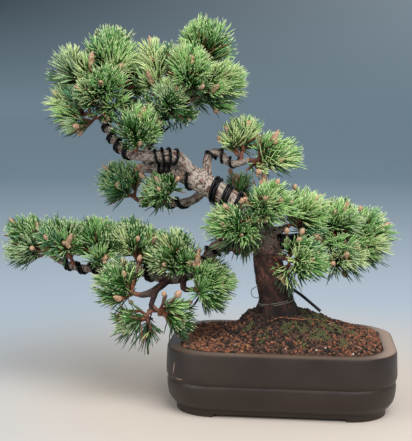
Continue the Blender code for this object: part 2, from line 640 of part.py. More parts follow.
def shoot_mesh(name, index, foot, away, space, rule):
    """A slim core whose small faces are drawn out into needles wherever there is room."""
    across = unit(np.cross(away, SHOOT_SIDE))
    up = np.cross(away, across)
    corners, faces = [], []
    for j in range(SHOOT_BANDS + 1):
        share = j / SHOOT_BANDS
        radius = SHOOT_RADIUS * (1.0 - SHOOT_TAPER * share)
        for k in range(SHOOT_SIDES):
            angle = 2 * math.pi * (k + 0.5 * (j % 2)) / SHOOT_SIDES
            corners.append(foot + away * SHOOT_LENGTH * share
                           + radius * (math.cos(angle) * across + math.sin(angle) * up))
    top = len(corners)
    corners.append(foot + away * (SHOOT_LENGTH + SHOOT_POINT))
    n = SHOOT_SIDES
    drawn = []
    for j in range(SHOOT_BANDS):
        for k in range(n):
            a, b = j * n + k, j * n + (k + 1) % n
            c, d = a + n, b + n
            if j % 2:
                drawn += [(a, b, d), (a, d, c)]
            else:
                drawn += [(a, b, c), (b, d, c)]
    crown = [(SHOOT_BANDS * n + k, SHOOT_BANDS * n + (k + 1) % n, top) for k in range(n)]
    faces.append(tuple(range(n - 1, -1, -1)))
    for face in drawn + crown:
        middle = sum(corners[i] for i in face) / 3
        share = np.dot(middle - foot, away) / SHOOT_LENGTH
        out = middle - foot - away * np.dot(middle - foot, away)
        spread = TIP_SPREAD if face in crown else (
            NEEDLE_SPREAD[0] + (NEEDLE_SPREAD[1] - NEEDLE_SPREAD[0]) * share)
        spread = math.radians(spread + rule.uniform(-NEEDLE_JITTER, NEEDLE_JITTER))
        aim = math.cos(spread) * away + math.sin(spread) * unit(out)
        length = NEEDLE_LENGTH * rule.uniform(*NEEDLE_VARIETY)
        tips = (middle + aim * length * part for part in NEEDLE_CUTS)
        fitting = (end for end in tips if space.free(name, index, middle, end, NEEDLE_WIDTH))
        tip = next(fitting, None)
        if tip is None:
            faces.append(face)
            continue
        point = len(corners)
        corners.append(tip)
        faces += [(face[0], face[1], point), (face[1], face[2], point), (face[2], face[0], point)]
        kept = middle + (tip - middle) * NEEDLE_KEEP[0]
        space.add_line(kept, tip, NEEDLE_KEEP[1], (name, index))
    space.settle()
    return corners, faces


def make_mass(name, limbs, stem, twigs, space, material):
    """One mass: a stem that meets its limb, and twigs and needled shoots fused to it."""
    root, heart, _ = stem
    rule = random.Random(name + " needles")
    over = heart + unit(heart - root) * STEM_OVERLAP
    thickness = (STEM_RADIUS * STEM_TAPER[0], STEM_RADIUS * STEM_TAPER[1])
    made = solid(name, *sweep([root, over], thickness, STEM_SIDES), material, smooth=False)
    carve_from(made, limbs[MASSES[name][0]])
    pieces = bpy.data.collections.new(name + "_pieces")
    bpy.context.scene.collection.children.link(pieces)
    for k, (start, foot, away) in enumerate(twigs):
        ends = (start - away * TWIG_OVERLAP[0], foot + away * TWIG_OVERLAP[1])
        twig = sweep(ends, (TWIG_RADIUS, TWIG_RADIUS * STEM_TAPER[1]), TWIG_SIDES)
        needles = shoot_mesh(name, k, foot, away, space, rule)
        for corners, faces in (twig, needles):
            piece = solid(f"{name}_piece", corners, faces, smooth=False)
            bpy.context.scene.collection.objects.unlink(piece)
            pieces.objects.link(piece)
    boolean(made, "UNION", collection=pieces)
    made.data.materials.clear()
    made.data.materials.append(material)


def main():
    for old in list(bpy.data.objects):
        bpy.data.objects.remove(old)
    make_pot(finish("stoneware"))
    make_soil(finish("akadama"))
    limbs = grow_limbs()
    make_limbs(limbs, finish("bark"))
    make_wires(limbs, finish("annealed_wire"))
    needles = finish("needles")
    stems = {name: stem_of(name, limbs) for name in MASSES}
    space = Space(limbs, stems)
    twigs = {name: twigs_of(name, stems[name], space) for name in MASSES}
    for name in MASSES:
        make_mass(name, limbs, stems[name], twigs[name], space, needles)


main()
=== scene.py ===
"""Dresses a wired pine bonsai: bark, wire, twigs, needles, buds, pot, soil and a plain stage.

Lengths in this file are millimetres unless a name says otherwise; build_mesh() turns them to
metres as it makes each piece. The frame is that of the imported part: +Z up, the origin at the
middle of the pot's flat underside, +X along the pot's long side and -Y towards the viewer.
"""

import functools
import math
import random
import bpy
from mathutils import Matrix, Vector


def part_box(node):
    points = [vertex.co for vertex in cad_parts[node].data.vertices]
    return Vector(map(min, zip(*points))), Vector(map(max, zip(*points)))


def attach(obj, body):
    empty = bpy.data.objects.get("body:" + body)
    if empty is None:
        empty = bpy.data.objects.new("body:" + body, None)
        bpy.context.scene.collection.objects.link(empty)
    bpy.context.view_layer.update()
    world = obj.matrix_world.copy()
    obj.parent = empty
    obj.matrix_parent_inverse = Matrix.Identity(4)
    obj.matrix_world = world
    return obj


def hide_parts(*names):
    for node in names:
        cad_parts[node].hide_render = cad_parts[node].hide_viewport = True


bl_info = {
    "name": "Wired pine bonsai",
    "version": (1, 0, 0),
    "blender": (4, 5, 0),
    "location": "3D View > Sidebar > Bonsai",
    "description": "Makes bark, wire, needles, pot and soil around the packed solids of a bonsai",
    "category": "Object",
}

import bmesh
import bpy
import numpy as np
from mathutils import Matrix, Vector, kdtree, noise

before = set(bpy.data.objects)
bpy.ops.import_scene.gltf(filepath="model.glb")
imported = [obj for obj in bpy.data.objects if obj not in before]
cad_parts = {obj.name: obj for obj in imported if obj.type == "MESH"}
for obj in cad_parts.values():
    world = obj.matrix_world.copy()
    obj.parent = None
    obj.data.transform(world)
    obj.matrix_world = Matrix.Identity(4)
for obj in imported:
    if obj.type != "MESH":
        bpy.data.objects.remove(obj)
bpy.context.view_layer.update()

MM = 0.001


def span(node, axis):
    """A solid's size along one axis of the frame."""
    low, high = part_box(node)
    return (high[axis] - low[axis]) / MM


# ---- pot, as the solids have it ----
POT_WIDTH, POT_DEPTH, POT_HEIGHT = span("pot", 0), span("pot", 1), span("pot", 2)
POT_CORNER = 64.0
LIP_WIDTH = 18.5
WALL, FLOOR_TOP = 8.0, 8.0
POT_PROFILE = (
    (14.0, 0.0), (13.0, 8.0), (9.0, 12.0), (4.0, 19.0), (1.6, 30.0), (1.4, 39.5), (2.6, 43.0),
    (0.3, 47.5), (0.0, 56.0), (1.2, 80.0), (2.8, 83.2), (4.8, 84.0),
)
POT_INSIDE = (
    (LIP_WIDTH, 83.4), (LIP_WIDTH + 0.8, 78.5), (WALL + 0.5, 74.0), (WALL, 18.0),
    (WALL + 7.0, 10.0), (WALL + 16.0, FLOOR_TOP),
)
ARCH_HEIGHT, ARCH_DEPTH, ARCH_WIDTHS = 4.0, 26.0, (168.0, 84.0)
POCKET_DEPTH, POCKET_SIZE, POCKET_X, DRAIN_RADIUS = 3.0, (92.0, 118.0), 66.0, 9.0
CORNER_STEPS, SIDE_STEPS, PROFILE_STEP = 18, 10, 1.6
QUARTERS = ((1, 1), (-1, 1), (-1, -1), (1, -1))  # the corners of a rectangle, in their order
QUARTER_STEPS = ((-2, 0), (0, -2), (2, 0), (0, 2))  # from each corner to the next
LIP_HIGHLIGHT_DROP = 1.6  # how far down from its top the lip takes its painted highlight
# rubbed marks on the front, as (x, z) of either end and the width
POT_MARKS = (((-134, 69), (-137, 50), 1.6), ((-133, 47), (-121, 48.5), 1.2),
             ((86, 50.5), (103, 52.5), 1.0))
MARK_DEPTH = 0.35  # how far behind the clay's face a mark's middle lies
# a mark is as wide along it as a sine between these angles
MARK_STEPS, MARK_SIDES, MARK_ENDS = 12, 8, (0.3, 2.9)
LIP_HIGHLIGHTS = ((0.0, 0.12), (0.2, 0.3), (0.6, 0.36), (0.85, 0.28), (1.0, 0.1))  # along the pot's length, how much painted highlight the lip takes
LIP_SHARES, LIP_CROWN = (0.25, 0.5, 0.75), 0.35  # across the lip, and how far its top swells
CUTTER_START, CUTTER_STEPS, CUTTER_ROUNDING = -5.0, 4, 3.0
DRAIN_SIDES, DRAIN_CUT = 28, (-6.0, 7.0, 20.0)
POT_CREASE, WIRE_CREASE = 38, 50  # degrees past which an edge shows sharp

# ---- soil ----
GROUND = 119.0
MOUND_FLAT, MOUND_FALL, MOUND_LEAN, MOUND_CURVE = 37.0, 43.0, 19.0, 1.5
MOUND_MARGIN = 26.0
SOIL_EDGE, SOIL_RISE = 82.6, 0.8
LUMP_HEIGHT, LUMP_WAVES, LUMP_MARGIN = 1.6, (0.13, 0.16), 20.0
GAP = 0.3
SOIL_RINGS = 46
SOIL_BOTTOM = ((18.0, 0.0), (1.0, 12.0))  # (in from the wall, above the soil's lowest place)
SOIL_SIDE, SOIL_SHOULDER = (1.2, 72.0), (1.4, 77.0)  # (in from the wall or the lip, height)
SOIL_HEART = 6.0  # radius of the bed's innermost ring, under the trunk
# small waves in the bed's surface, and how far their middle lies under the mound's
WAVE_WIDTH, WAVE_HEIGHT, WAVE_DROP = 11.0, 1.1, 0.6
WAVE_NOISE = (0.9, 2.1, 3)  # roughness, how much finer each octave is, and octaves
LUMP_STRETCH = (0.75, 1.2)
GRAIN_STEP, GRAIN_COLUMNS, GRAIN_ROWS = 3.0, 47, 32  # so many to either side of the middle
GRAIN_SIZES, GRAIN_RISE = (0.7, 1.35), 0.35
GRAIN_MARGIN, TRUNK_OVERLAP = 2.0, 3.0  # off the lip, and in under the trunk's flare
DAMP_MIDDLE, DAMP_REACH, DAMP_MOST = (22, -20), (78, 85), 1.1  # along x and y
DAMP_PATCHES, DAMP_VARIETY = 18.0, 0.5  # width of its patches, and how strong they are
FOOT_DAMP, AIR_DAMP = 34.0, 0.7  # how far the trunk keeps the soil wet, and the share of damp()
FLECKS, FLECK_SIZE = ("red", "brown", "dark", "tan", "pumice"), 0.7
# the share of each fleck on dry soil, and what wet soil adds to it
FLECK_SHARES = ((0.36, -0.26), (0.36, 0.0), (0.18, 0.6), (0.10, -0.09), (0.008, 0.0))
MOSS_TUFTS, MOSS_BOX = 1900, ((-50, 120), (-80, 20))
# (x, y, radius) of the patches of moss on the mound
MOSS_PATCHES = (
    (7, -57, 9), (24, -53, 13), (37, -60, 11), (52, -54, 14), (71, -21, 12), (92, -15, 9),
    (24, -75, 9), (47, -8, 14), (34, -28, 12), (81, -63, 10), (-24, -64, 9), (-41, -41, 9),
    (17, 5, 16), (58, -30, 11),
)
MOSS_BASE, MOSS_VARIETY, MOSS_GRAIN = 0.62, 1.3, 5.0
MOSS_CHANCE, MOSS_LIMIT, MOSS_MARGIN = (0.6, 1.4), 0.42, 4.0  # a place less mossy has none
MOSS_RISE, MOSS_LEAN, MOSS_PALE = 0.6, 0.6, 0.3
MOSS_LENGTH, MOSS_STATIONS, MOSS_RADII = (2.2, 4.2), (0.0, 0.55, 1.0), (1.1, 0.9, 0.0)
MOSS_SIDES = 4
# surface roots as (x, y) routes over the mound, and the root's radius
ROOTS = (
    (((-14, -46), (-6, -41), (3, -37), (8, -37)), 0.9),
    (((6, -40), (22, -36), (38, -27), (56, -12), (66, -4)), 1.0),
    (((58, -10), (74, -4), (90, 6), (104, 14), (112, 20)), 0.9),
    (((60, -8), (78, -14), (92, -12)), 0.7),
    (((100, 30), (108, 24), (114, 20)), 0.7),
    (((40, -24), (52, -36), (60, -50)), 0.5),
)
ROOT_RISE, ROOT_STEPS, ROOT_SIDES, ROOT_TAPER = 1.6, 26, 8, 0.5
# lumps of bare root and clay on the mound's shoulders, as (x, y, radius)
CLODS = (
    (-43, -3, 7.0), (-35, 8, 6.0), (-48, -12, 4.5), (-30, 22, 5.0), (-52, 2, 4.0),
    (-39, -16, 5.0), (-33, -26, 4.0), (30, 14, 5.0), (36, 2, 4.0), (44, 10, 4.5),
)
CLOD_ROUGH, CLOD_FLAT, CLOD_RISE = 0.12, 0.75, 0.2

# ---- limbs: stations are (x, y, z, radius) ----
TRUNK = (
    (-6, 0, GROUND, 26.5), (-7, 0, 126, 24.5), (-10, 0, 145, 22.5), (-16, -1, 165, 21),
    (-20, -2, 187, 19.8), (-22, -3, 203, 19.2), (-27, -5, 221, 17.4), (-36, -8, 238, 15.4),
    (-52, -9, 256, 13.8), (-78, -5, 275, 13.4), (-102, 2, 287, 14.6), (-125, 8, 299, 14.6),
    (-152, 11, 307, 11.8), (-192, 13, 312, 9.0),
)
FLARE_HEIGHT, FLARE_LOBES, FLARE_SIZE, FLARE_TURN = 22.0, 5, 0.16, 0.6
# name: (host, where on the host from 0 to 1, start radius, stations after the one on the host)
BOUGHS = {
    "leader": ("trunk", 0.735, 8.5, (
        (-138, -8, 323, 8.4), (-152, -14, 327, 8.2), (-170, -17, 327, 8), (-190, -14, 327, 7.6),
        (-209, -8, 331, 7.1), (-224, -2, 343, 6.6), (-235, 0, 360, 6), (-242, 1, 380, 5),
        (-243, 3, 400, 4.2), (-238, 5, 420, 3.4))),
    "crown_right_bough": ("leader", 0.42, 5.0, (
        (-176, -6, 344, 4.8), (-167, 4, 366, 4.5), (-153, 8, 388, 4.1), (-135, 6, 404, 3.7),
        (-118, 4, 412, 3.2))),
    "right_branch": ("trunk", 0.675, 6.4, (
        (-104, 10, 318, 6.2), (-97, 12, 330, 5.9), (-87, 13, 330, 5.6), (-79, 12, 321, 5.5),
        (-70, 10, 316, 5.2), (-59, 8, 318, 4.6), (-47, 8, 322, 3.8))),
    "mid_left_bough": ("trunk", 0.69, 6.8, (
        (-119, 22, 269, 6.5), (-137, 31, 261, 6.2), (-164, 38, 260, 5.7), (-189, 43, 260, 5),
        (-204, 45, 262, 3.8))),
    "left_bough": ("trunk", 0.335, 10.6, (
        (-54, 4, 206, 10), (-74, 6, 209, 9.7), (-92, 4, 202, 9.4), (-103, 0, 187, 9),
        (-116, -6, 174, 8.5), (-137, -10, 165, 8.2), (-157, -10, 163, 7.9), (-182, -6, 169, 7.4),
        (-213, 0, 175, 6.9), (-249, 4, 172, 6.1), (-279, 4, 172, 5.2), (-301, 2, 180, 4.2),
        (-319, 0, 191, 3.3))),
    "front_left_bough": ("left_bough", 0.455, 5.4, (
        (-166, -24, 151, 5.2), (-177, -34, 146, 4.8), (-187, -40, 145, 4.0))),
    "front_low_bough": ("front_left_bough", 0.45, 4.0, (
        (-171, -38, 134, 3.8), (-170, -42, 125, 3.3))),
    "front_right_bough": ("left_bough", 0.395, 4.6, (
        (-131, -20, 152, 4.2), (-120, -25, 151, 3.4))),
    "right_bough": ("trunk", 0.36, 8.8, (
        (-1, 5, 212, 8.4), (18, 14, 214, 8), (42, 20, 211, 7.2), (62, 22, 211, 6.2),
        (77, 22, 213, 5))),
    "right_front_bough": ("trunk", 0.315, 6.4, (
        (-9, -18, 200, 6), (3, -28, 198, 5.0))),
    "right_top_bough": ("trunk", 0.41, 6.0, ((-11, -5, 230, 5.6), (5, -5, 235, 4.4))),
}
TRUNK_RING_STEP, RING_STEP = 13.5, 14.5  # of the solids, whose lines the stems start from
TRUNK_SIDES, BOUGH_SIDES, FINE_STEP = 64, 28, 2.2
LINE_STEPS = 24  # between two stations, when a smooth line is drawn
STEEPEST = 0.3  # a line that runs nearer than this to Y is framed from X
SAMPLE_STEP, KEEP_STEP = 3.0, 2.0  # between the places where wood is kept clear of
OLD_SHADED_BARK = (196.0, 244.0)  # heights between which the trunk's bark turns from old and dark with painted shade to young and pale where the light falls
# a bough's bark is as old, and as darkened by painted shade, as its host's for the first length,
# and turns young and pale over the second
OLD_SHADED_INSIDE, OLD_SHADED_ALONG, YOUNG_LIT_AGE = 26.0, 60.0, 0.2
FULL_PLATES = 18.0  # the radius from which a limb's plates have their full size
PLATE_BY_SIZE, RELIEF_BY_SIZE = (0.45, 0.55), (0.35, 0.65)  # at least, and more with the radius
PLATE_STRETCH, LIMB_OFFSET = 0.6, 7.0  # plates are longer than wide, and differ limb by limb
PLATE_WARP, PLATE_WAVE = 1.3, 0.35  # both as shares of a plate's width
WARP_SEED = 3  # without it the clock would seed the warp, and no two runs would be alike
CRACK_WIDTH, PLATE_SEED = 0.32, 7.3
FINE_PLATES, FINE_OFFSET = 0.45, 50.0
LIFTS, LIFT_MIDDLE = (0.62, 0.18, 0.2), 0.85  # by plate, fine plate and the plate's shade
HEIGHT_MIX, SHADE_MIX = (0.7, 0.3), (0.55, 0.45)  # of plates and fine plates, for the colours
SKIN_EVENING = (0.5, 4)
FOOT_DAMP_AND_SHADE = (119.0, 185.0)  # heights between which the foot's darkening fades: damp from the wet soil, and painted shade low on the trunk
FOOT_DAMP_AND_SHADE_SHARE = 0.8

# ---- wire: (limb it winds on, from, to, turns, wire radius) ----
WIRES = {
    "trunk_wire": ("trunk", 0.50, 0.645, 2.5, 2.3),
    "stub_wire": ("trunk", 0.865, 0.935, 3.0, 2.1),
    "leader_wire": ("leader", 0.20, 0.36, 4.0, 1.9),
    "leader_tip_wire": ("leader", 0.50, 0.75, 3.5, 1.6),
    "crown_right_wire": ("crown_right_bough", 0.30, 0.82, 3.5, 1.4),
    "right_branch_wire": ("right_branch", 0.40, 0.85, 3.0, 1.8),
    "left_bough_wire": ("left_bough", 0.12, 0.34, 4.5, 2.0),
    "left_outer_wire": ("left_bough", 0.53, 0.92, 6.5, 1.8),
    "mid_left_wire": ("mid_left_bough", 0.42, 0.90, 3.0, 1.6),
    "right_bough_wire": ("right_bough", 0.32, 0.50, 3.5, 1.6),
}
WIRE_STEPS_A_TURN, WIRE_CLEARANCE, WIRE_LIFT = 8, 0.9, 0.1
SEAT_STEP, SEAT_TRIES, SEAT_SAMPLES = 0.002, 61, 40  # the search for a seat clear of wire
FINE_WIRE_STEPS, FINE_WIRE_SIDES, LOOSE_STEPS = 22, 10, 20
WIRE_TAIL, TAIL_LIFT = 0.16, 1.6  # an end lifts by so many radii over this share of a turn
STRAND_PITCH = 2.15  # radii from one strand's middle to the next
STRANDS = {"trunk_wire": 2, "leader_tip_wire": 2, "left_outer_wire": 2,
           "mid_left_wire": 2, "right_bough_wire": 2, "crown_right_wire": 2}
MORE_WIRES = (
    ("right_bough", 0.12, 0.29, 3.5, 1.8), ("leader", 0.78, 0.9, 2.0, 1.5),
    ("trunk", 0.76, 0.84, 1.0, 2.2),
)
TIE = ("trunk", 0.045, 0.055, 1.2, 0.45)
# loose ends and runs of wire, as (stations, radius)
LOOSE_WIRES = (
    (((-173, -5, 350), (-162, -14, 356), (-150, -20, 366)), 1.5),
    (((-179, -12, 331), (-176, -17, 340), (-167, -20, 348)), 1.4),
    (((-136, -40, 132), (-126, -44, 130), (-116, -44, 133), (-107, -40, 146)), 1.3),
    (((4, -10, 158), (22, -26, 150), (36, -31, 140), (50, -34, 129)), 2.0),
    (((-27, 0, 155), (-36, 2, 152), (-42, 0, 147), (-40, -2, 140), (-33, -1, 138), (-28, 0, 144)),
     0.45),
    (((-170, -43, 124), (-173, -54, 106), (-174, -57, 88), (-173, -56, 70)), 0.9),
)

# ---- foliage, by the solids' rule: (host limb, where on it, centre, reach, shoots) ----
MASSES = {
    "crown_peak": ("leader", 1.0, (-228, 6, 460), 42, 5),
    "crown_far_left": ("leader", 0.90, (-283, -8, 432), 40, 4),
    "crown_low_left": ("leader", 0.78, (-287, 2, 386), 41, 4),
    "crown_heart": ("leader", 0.86, (-234, -38, 408), 38, 4),
    "crown_back": ("leader", 0.88, (-214, 48, 420), 43, 3),
    "crown_front": ("leader", 0.47, (-188, -42, 364), 37, 4),
    "crown_fan": ("crown_right_bough", 0.62, (-150, -30, 392), 38, 4),
    "crown_mid": ("crown_right_bough", 0.70, (-172, 10, 444), 40, 4),
    "crown_middle_right": ("crown_right_bough", 0.85, (-126, -32, 436), 38, 4),
    "crown_summit": ("crown_right_bough", 0.95, (-105, 10, 472), 40, 4),
    "crown_right": ("crown_right_bough", 1.0, (-84, -4, 418), 39, 4),
    "crown_right_back": ("crown_right_bough", 0.80, (-134, 50, 404), 40, 4),
    "right_tip": ("right_branch", 1.0, (-14, 4, 320), 41, 4),
    "right_tip_top": ("right_branch", 0.86, (-54, 10, 348), 35, 3),
    "mid_left_tip": ("mid_left_bough", 1.0, (-227, 42, 281), 38, 4),
    "mid_left": ("mid_left_bough", 0.58, (-160, 6, 277), 35, 3),
    "left_tip": ("left_bough", 1.0, (-351, -4, 207), 38, 5),
    "left_outer": ("left_bough", 0.90, (-297, -16, 211), 40, 4),
    "left_middle": ("left_bough", 0.77, (-250, -10, 209), 42, 4),
    "left_inner": ("left_bough", 0.60, (-203, 4, 206), 40, 4),
    "left_heart": ("left_bough", 0.39, (-144, -24, 196), 40, 4),
    "left_low_back": ("left_bough", 0.48, (-168, 44, 180), 40, 3),
    "front_left": ("front_left_bough", 1.0, (-214, -48, 158), 38, 4),
    "front_low": ("front_low_bough", 1.0, (-188, -56, 108), 37, 3),
    "front_low_right": ("front_low_bough", 0.8, (-144, -44, 114), 35, 3),
    "front_right": ("front_right_bough", 1.0, (-92, -34, 158), 38, 4),
    "trunk_front": ("trunk", 0.43, (-66, -44, 232), 40, 5),
    "trunk_top": ("trunk", 0.47, (-14, -36, 261), 39, 4),
    "trunk_back": ("trunk", 0.52, (-62, 50, 262), 40, 3),
    "right_high": ("right_top_bough", 1.0, (28, -12, 250), 40, 5),
    "right_mid": ("right_bough", 0.72, (70, -2, 238), 39, 4),
    "right_end": ("right_bough", 1.0, (113, 18, 218), 43, 5),
    "right_under": ("right_bough", 0.76, (76, -28, 197), 36, 3),
    "right_low": ("right_front_bough", 1.0, (24, -54, 190), 40, 5),
    "right_back": ("right_bough", 0.52, (38, 62, 222), 42, 3),
}
STEM_RADIUS, TWIG_RADIUS, STEM_END, HEART = 2.7, 2.1, 0.985, 0.38
TWIG_SPREAD, TWIG_LENGTH, STEM_PITCH, TWIG_TRIES = (42.0, 72.0), 0.26, 0.17, 12
TWIG_JITTER = 5.0  # degrees
STRAIGHT_TWIG = 0.5  # of a twig's length, for one that runs on from the stem
TWIG_SHORTENING = 0.05  # of the length, at each try that finds no room
TWIG_SIDE, SHOOT_SIDE = (0.13, 0.31, 0.94), (0.3, 0.9, 0.27)  # no twig or shoot runs along these
UPWARD = 0.14
SHOOT_RADIUS, SHOOT_LENGTH, CORE_CLEARANCE, SHOOT_SAMPLES = 3.9, 15.0, 0.6, 8
OUTSIDE_REACH = 1.06  # how far a shoot may stand out of its mass's ball
NEIGHBOUR_MARGIN = 0.8  # to the plane between two masses
POT_MARGIN = 2.0
GOLDEN_ANGLE = 137.508

# ---- what this file adds to that rule ----
SIDE_SHOOTS, SIDE_TRIES = 2, 9
SIDE_ROOT, SIDE_ACROSS = (0.35, 0.95), (0.31, 0.2, 0.93)
SIDE_SPREAD = (24.0, 52.0)  # degrees off the twig
SIDE_LENGTH, SIDE_ROOM = (9.0, 15.0), 0.7
SIDE_UPWARD, SIDE_CLEARANCE, SIDE_OVERHANG = 0.4, 1.2, 4.0
SIDE_SHARE = (0.55, 0.8)  # the size of a side shoot's tuft against a main one
MAIN_SHARE = 0.9  # a tuft with more than this is on a main shoot
SHOOT_STRETCH, SHOOT_BY_SHARE, SHOOT_BEND = (1.15, 1.6), (0.6, 0.4), 0.22
TUFT_OPEN, TUFT_REACH = (0.75, 1.12), (0.82, 1.12)
TUFT_SWAY, TUFT_SWAY_UP, TUFT_RISE = 0.7, 0.5, 1.3
TWIG_STATIONS, TWIG_SIDES, TWIG_BUMPS = 6, 7, (-0.12, 0.16)
STEM_TAPER, STEM_SAG = (1.15, 0.85), 0.7
TWIG_TAPER, TWIG_SAG, TWIG_OVERLAP = (2.2, 1.8), 0.4, 2.0
SHOOT_TAPER = (1.9, 1.3)
NEEDLE_STATIONS, NEEDLE_PROFILE = (0.0, 0.5, 0.86, 1.0), (0.75, 1.0, 0.62, 0.0)
NEEDLE_SIDES, MOST_NEEDLES = 3, 11000  # the second for one piece, which keeps it under the limit
LEAST_PAIRS, TURN_JITTER, PAIR_SPLIT = 8, 0.25, 0.13
NEEDLE_SPREAD = (64.0, 24.0)  # degrees off the shoot, at its foot and at its tip
SPREAD_CURVE, PAIR_JITTER, NEEDLE_JITTER, LEAST_SPREAD = 0.8, 9.0, 3.0, 4.0
NEEDLE_BY_SHARE, PAIR_VARIETY, NEEDLE_VARIETY = (0.72, 0.28), (0.78, 1.1), (0.95, 1.0)
NEEDLE_FOOT = 1.2  # how far off the shoot's line it starts
NEEDLE_CUTS = (1.0, 0.86, 0.72)  # a needle without room is tried shorter
NEEDLE_MIDDLE, NEEDLE_CLEARANCE, NEEDLE_WAVE = 0.55, 0.4, 0.035
NEEDLE_FORWARD = 0.14  # how far a needle curves towards the shoot's tip, as a share of its length
NEEDLE_SAG = 0.05  # how far its own weight bends it, as a share of its length
NEAR = 90.0  # a needle never reaches wood further from its tuft's foot than this
NEEDLE_OVERHANG = 13.0  # how far needles of neighbouring masses reach in among each other
NEEDLE_STRETCH = (0.86, 1.15)  # of a mass's reach, where its needles end
NEEDLE_BUNCHES, NEEDLE_BUNCHING = (3, 7), 0.72  # how many round a shoot, and how strongly
NEEDLE_LOPSIDED = (0.16, 0.14)  # how much longer, and wider spread, one side of a tuft is
UNDERSIDE = (0.15, 1.25)  # needles that point down more than this thin out, this fast
OTHER_GREEN, OLD_FOOT, OLD_CHANCE = 0.18, 0.16, 0.12  # shares of needles, and of the shoot
BUD_STATIONS = (0.0, 0.16, 0.38, 0.6, 0.8, 0.93, 1.0)
BUD_PROFILE = (0.5, 0.85, 1.0, 0.95, 0.7, 0.36, 0.0)
BUD_COUNTS, SIDE_BUD_COUNTS = (1, 1, 2, 3, 4), (0, 0, 1)
BUD_LENGTH, BUD_BY_SHARE, BUD_WIDTH, BUD_SIDES = (9.5, 12.5), (0.5, 0.5), 0.37, 8
SIDE_BUD_LEAN, SIDE_BUD_TURN, SIDE_BUD_SIZE, SIDE_BUD_FOOT = (0.45, 0.8), 0.4, 0.75, 2.4
# of shoots that rise more than this, how many have a candle, and the depth of its scales
CANDLE_RISE, CANDLE_CHANCE, CANDLE_SCALE = 0.15, 0.45, 0.16
CANDLE_LENGTH, CANDLE_RADIUS = (21.0, 29.0), (3.7, 4.7)
CANDLE_RINGS, CANDLE_SIDES, CANDLE_BROWN, CANDLE_FOOT, CANDLE_BEND = 15, 8, 0.5, 0.75, 0.15
CANDLE_BELLY, CANDLE_POINT = (0.8, 0.2), (0.3, 0.7)
SHADED_FALL = -0.34  # the fall of a needle below which it keeps its shaded green
GREENS = ("deep", "mid", "bright", "yellow", "blue", "grey")
TIP_KIND, OLD_KIND, SHADE_KIND = 6, 7, 8  # the needle finishes that follow the greens
SHADY_SHARES = (0.55, 0.20, 0.04, 0.01, 0.13, 0.07)
LIT_SHARES = (0.08, 0.20, 0.33, 0.23, 0.04, 0.12)
LIT_X, LIT_Z = (-260.0, 60.0), (250.0, 520.0)  # the tree is more sunlit to the right, and up

BARK_SLOT, WIRE_SLOT, NEEDLE_SLOT, POT_SLOT, SOIL_SLOT = "bark", "wire", "needles", "pot", "soil"
BARK_NOTES = ("plate_height", "plate_shade", "bark_age")  # what the bark mesh tells its material; the age also carries painted shade
REGIONS = {
    "crown": ("crown_",),
    "left_pads": ("left_", "mid_left", "front_"),
    "right_pads": ("right_", "trunk_"),
}

FLOOR_FADE = 4.0  # metres from the pot to where the floor is at its coolest
FLOOR_SIDES, FLOOR_RADIUS = 96, 30000
# metres: what the lights are turned to, and each light's place and size
LIT_MIDDLE = (-0.08, 0.0, 0.25)
KEY_PLACE, KEY_SIZE = (0.9, -1.35, 2.0), 2.0
FILL_PLACE, FILL_SIZE = (-1.6, -1.4, 0.9), 1.6
# parts of a direction: across, where the air is darkest and palest, and up
LEFT_EDGE, RIGHT_EDGE = -0.30, 0.10
DUSK_RISE, AIR_RISE = 0.11, 0.5

# ---- camera ----
CAMERA_PLACE = (22.5, -1290.8, 394.7)
CAMERA_RIGHT = (0.9951, 0.0982, 0.0077)
CAMERA_UP = (-0.0192, 0.1166, 0.993)
CAMERA_LENS, CAMERA_SENSOR = 79.86, 36.0
CAMERA_CLIP = (0.05, 100.0)  # metres

# ---- materials: sockets of a Mix node, and colours that others are multiplied by ----
FACTOR, COLOUR_A, COLOUR_B, MIXED = 0, 6, 7, 2
PLAIN = (1.0, 1.0, 1.0)  # multiplied by this, a colour stays as it is
GRIT_DARK, MOTTLE_DARK = (0.72, 0.70, 0.68), (0.55, 0.47, 0.43)


def linear(code):
    """An sRGB hex colour as linear red, green and blue."""
    values = [int(code[k:k + 2], 16) / 255 for k in (1, 3, 5)]
    return tuple(v / 12.92 if v <= 0.04045 else ((v + 0.055) / 1.055) ** 2.4 for v in values)


def length_setting(name, description, size, low, high):
    """A property for a length, given here in millimetres."""
    return bpy.props.FloatProperty(name=name, description=description, default=size * MM,
                                   min=low * MM, max=high * MM, unit="LENGTH", precision=4)


def colour_setting(name, description, code):
    """A property for a colour, given here as sRGB hex."""
    return bpy.props.FloatVectorProperty(name=name, description=description, subtype="COLOR",
                                         size=3, min=0.0, max=1.0, default=linear(code))


class PotSettings(bpy.types.PropertyGroup):
    """Finish of the pot."""

    clay: colour_setting("Clay", "Fired colour of most of the pot", "#1f130c")
    pale_clay: colour_setting("Pale clay", "Where the clay fired paler", "#2c1e15")
    # painted highlight: the lip's top is tinted paler where the light catches it, strongest just
    # right of the middle
    lip: colour_setting("Lip", "Top of the lip, rubbed paler", "#957c69")
    mark: colour_setting("Marks", "Rubbed marks on the front", "#a8867a")
    grit: length_setting("Grit", "Width of the clay's grains", 0.9, 0.1, 5.0)


class SoilSettings(bpy.types.PropertyGroup):
    """Sizes and colours of the soil."""

    grain: length_setting("Grain", "Middle radius of a granule", 1.9, 0.5, 6.0)
    red: colour_setting("Red", "Fired red clay grains", "#7e4b33")
    brown: colour_setting("Brown", "Damp brown grains", "#553a2b")
    dark: colour_setting("Dark", "Wet dark grains", "#241a14")
    tan: colour_setting("Tan", "Dry orange-tan grains", "#936645")
    pumice: colour_setting("Pumice", "White pumice flecks", "#cdbfae")
    moss: colour_setting("Moss", "Olive moss", "#35381e")
    moss_tip: colour_setting("Moss tips", "Paler moss tips", "#52522d")
    root: colour_setting("Root", "Dry surface roots", "#b36a41")


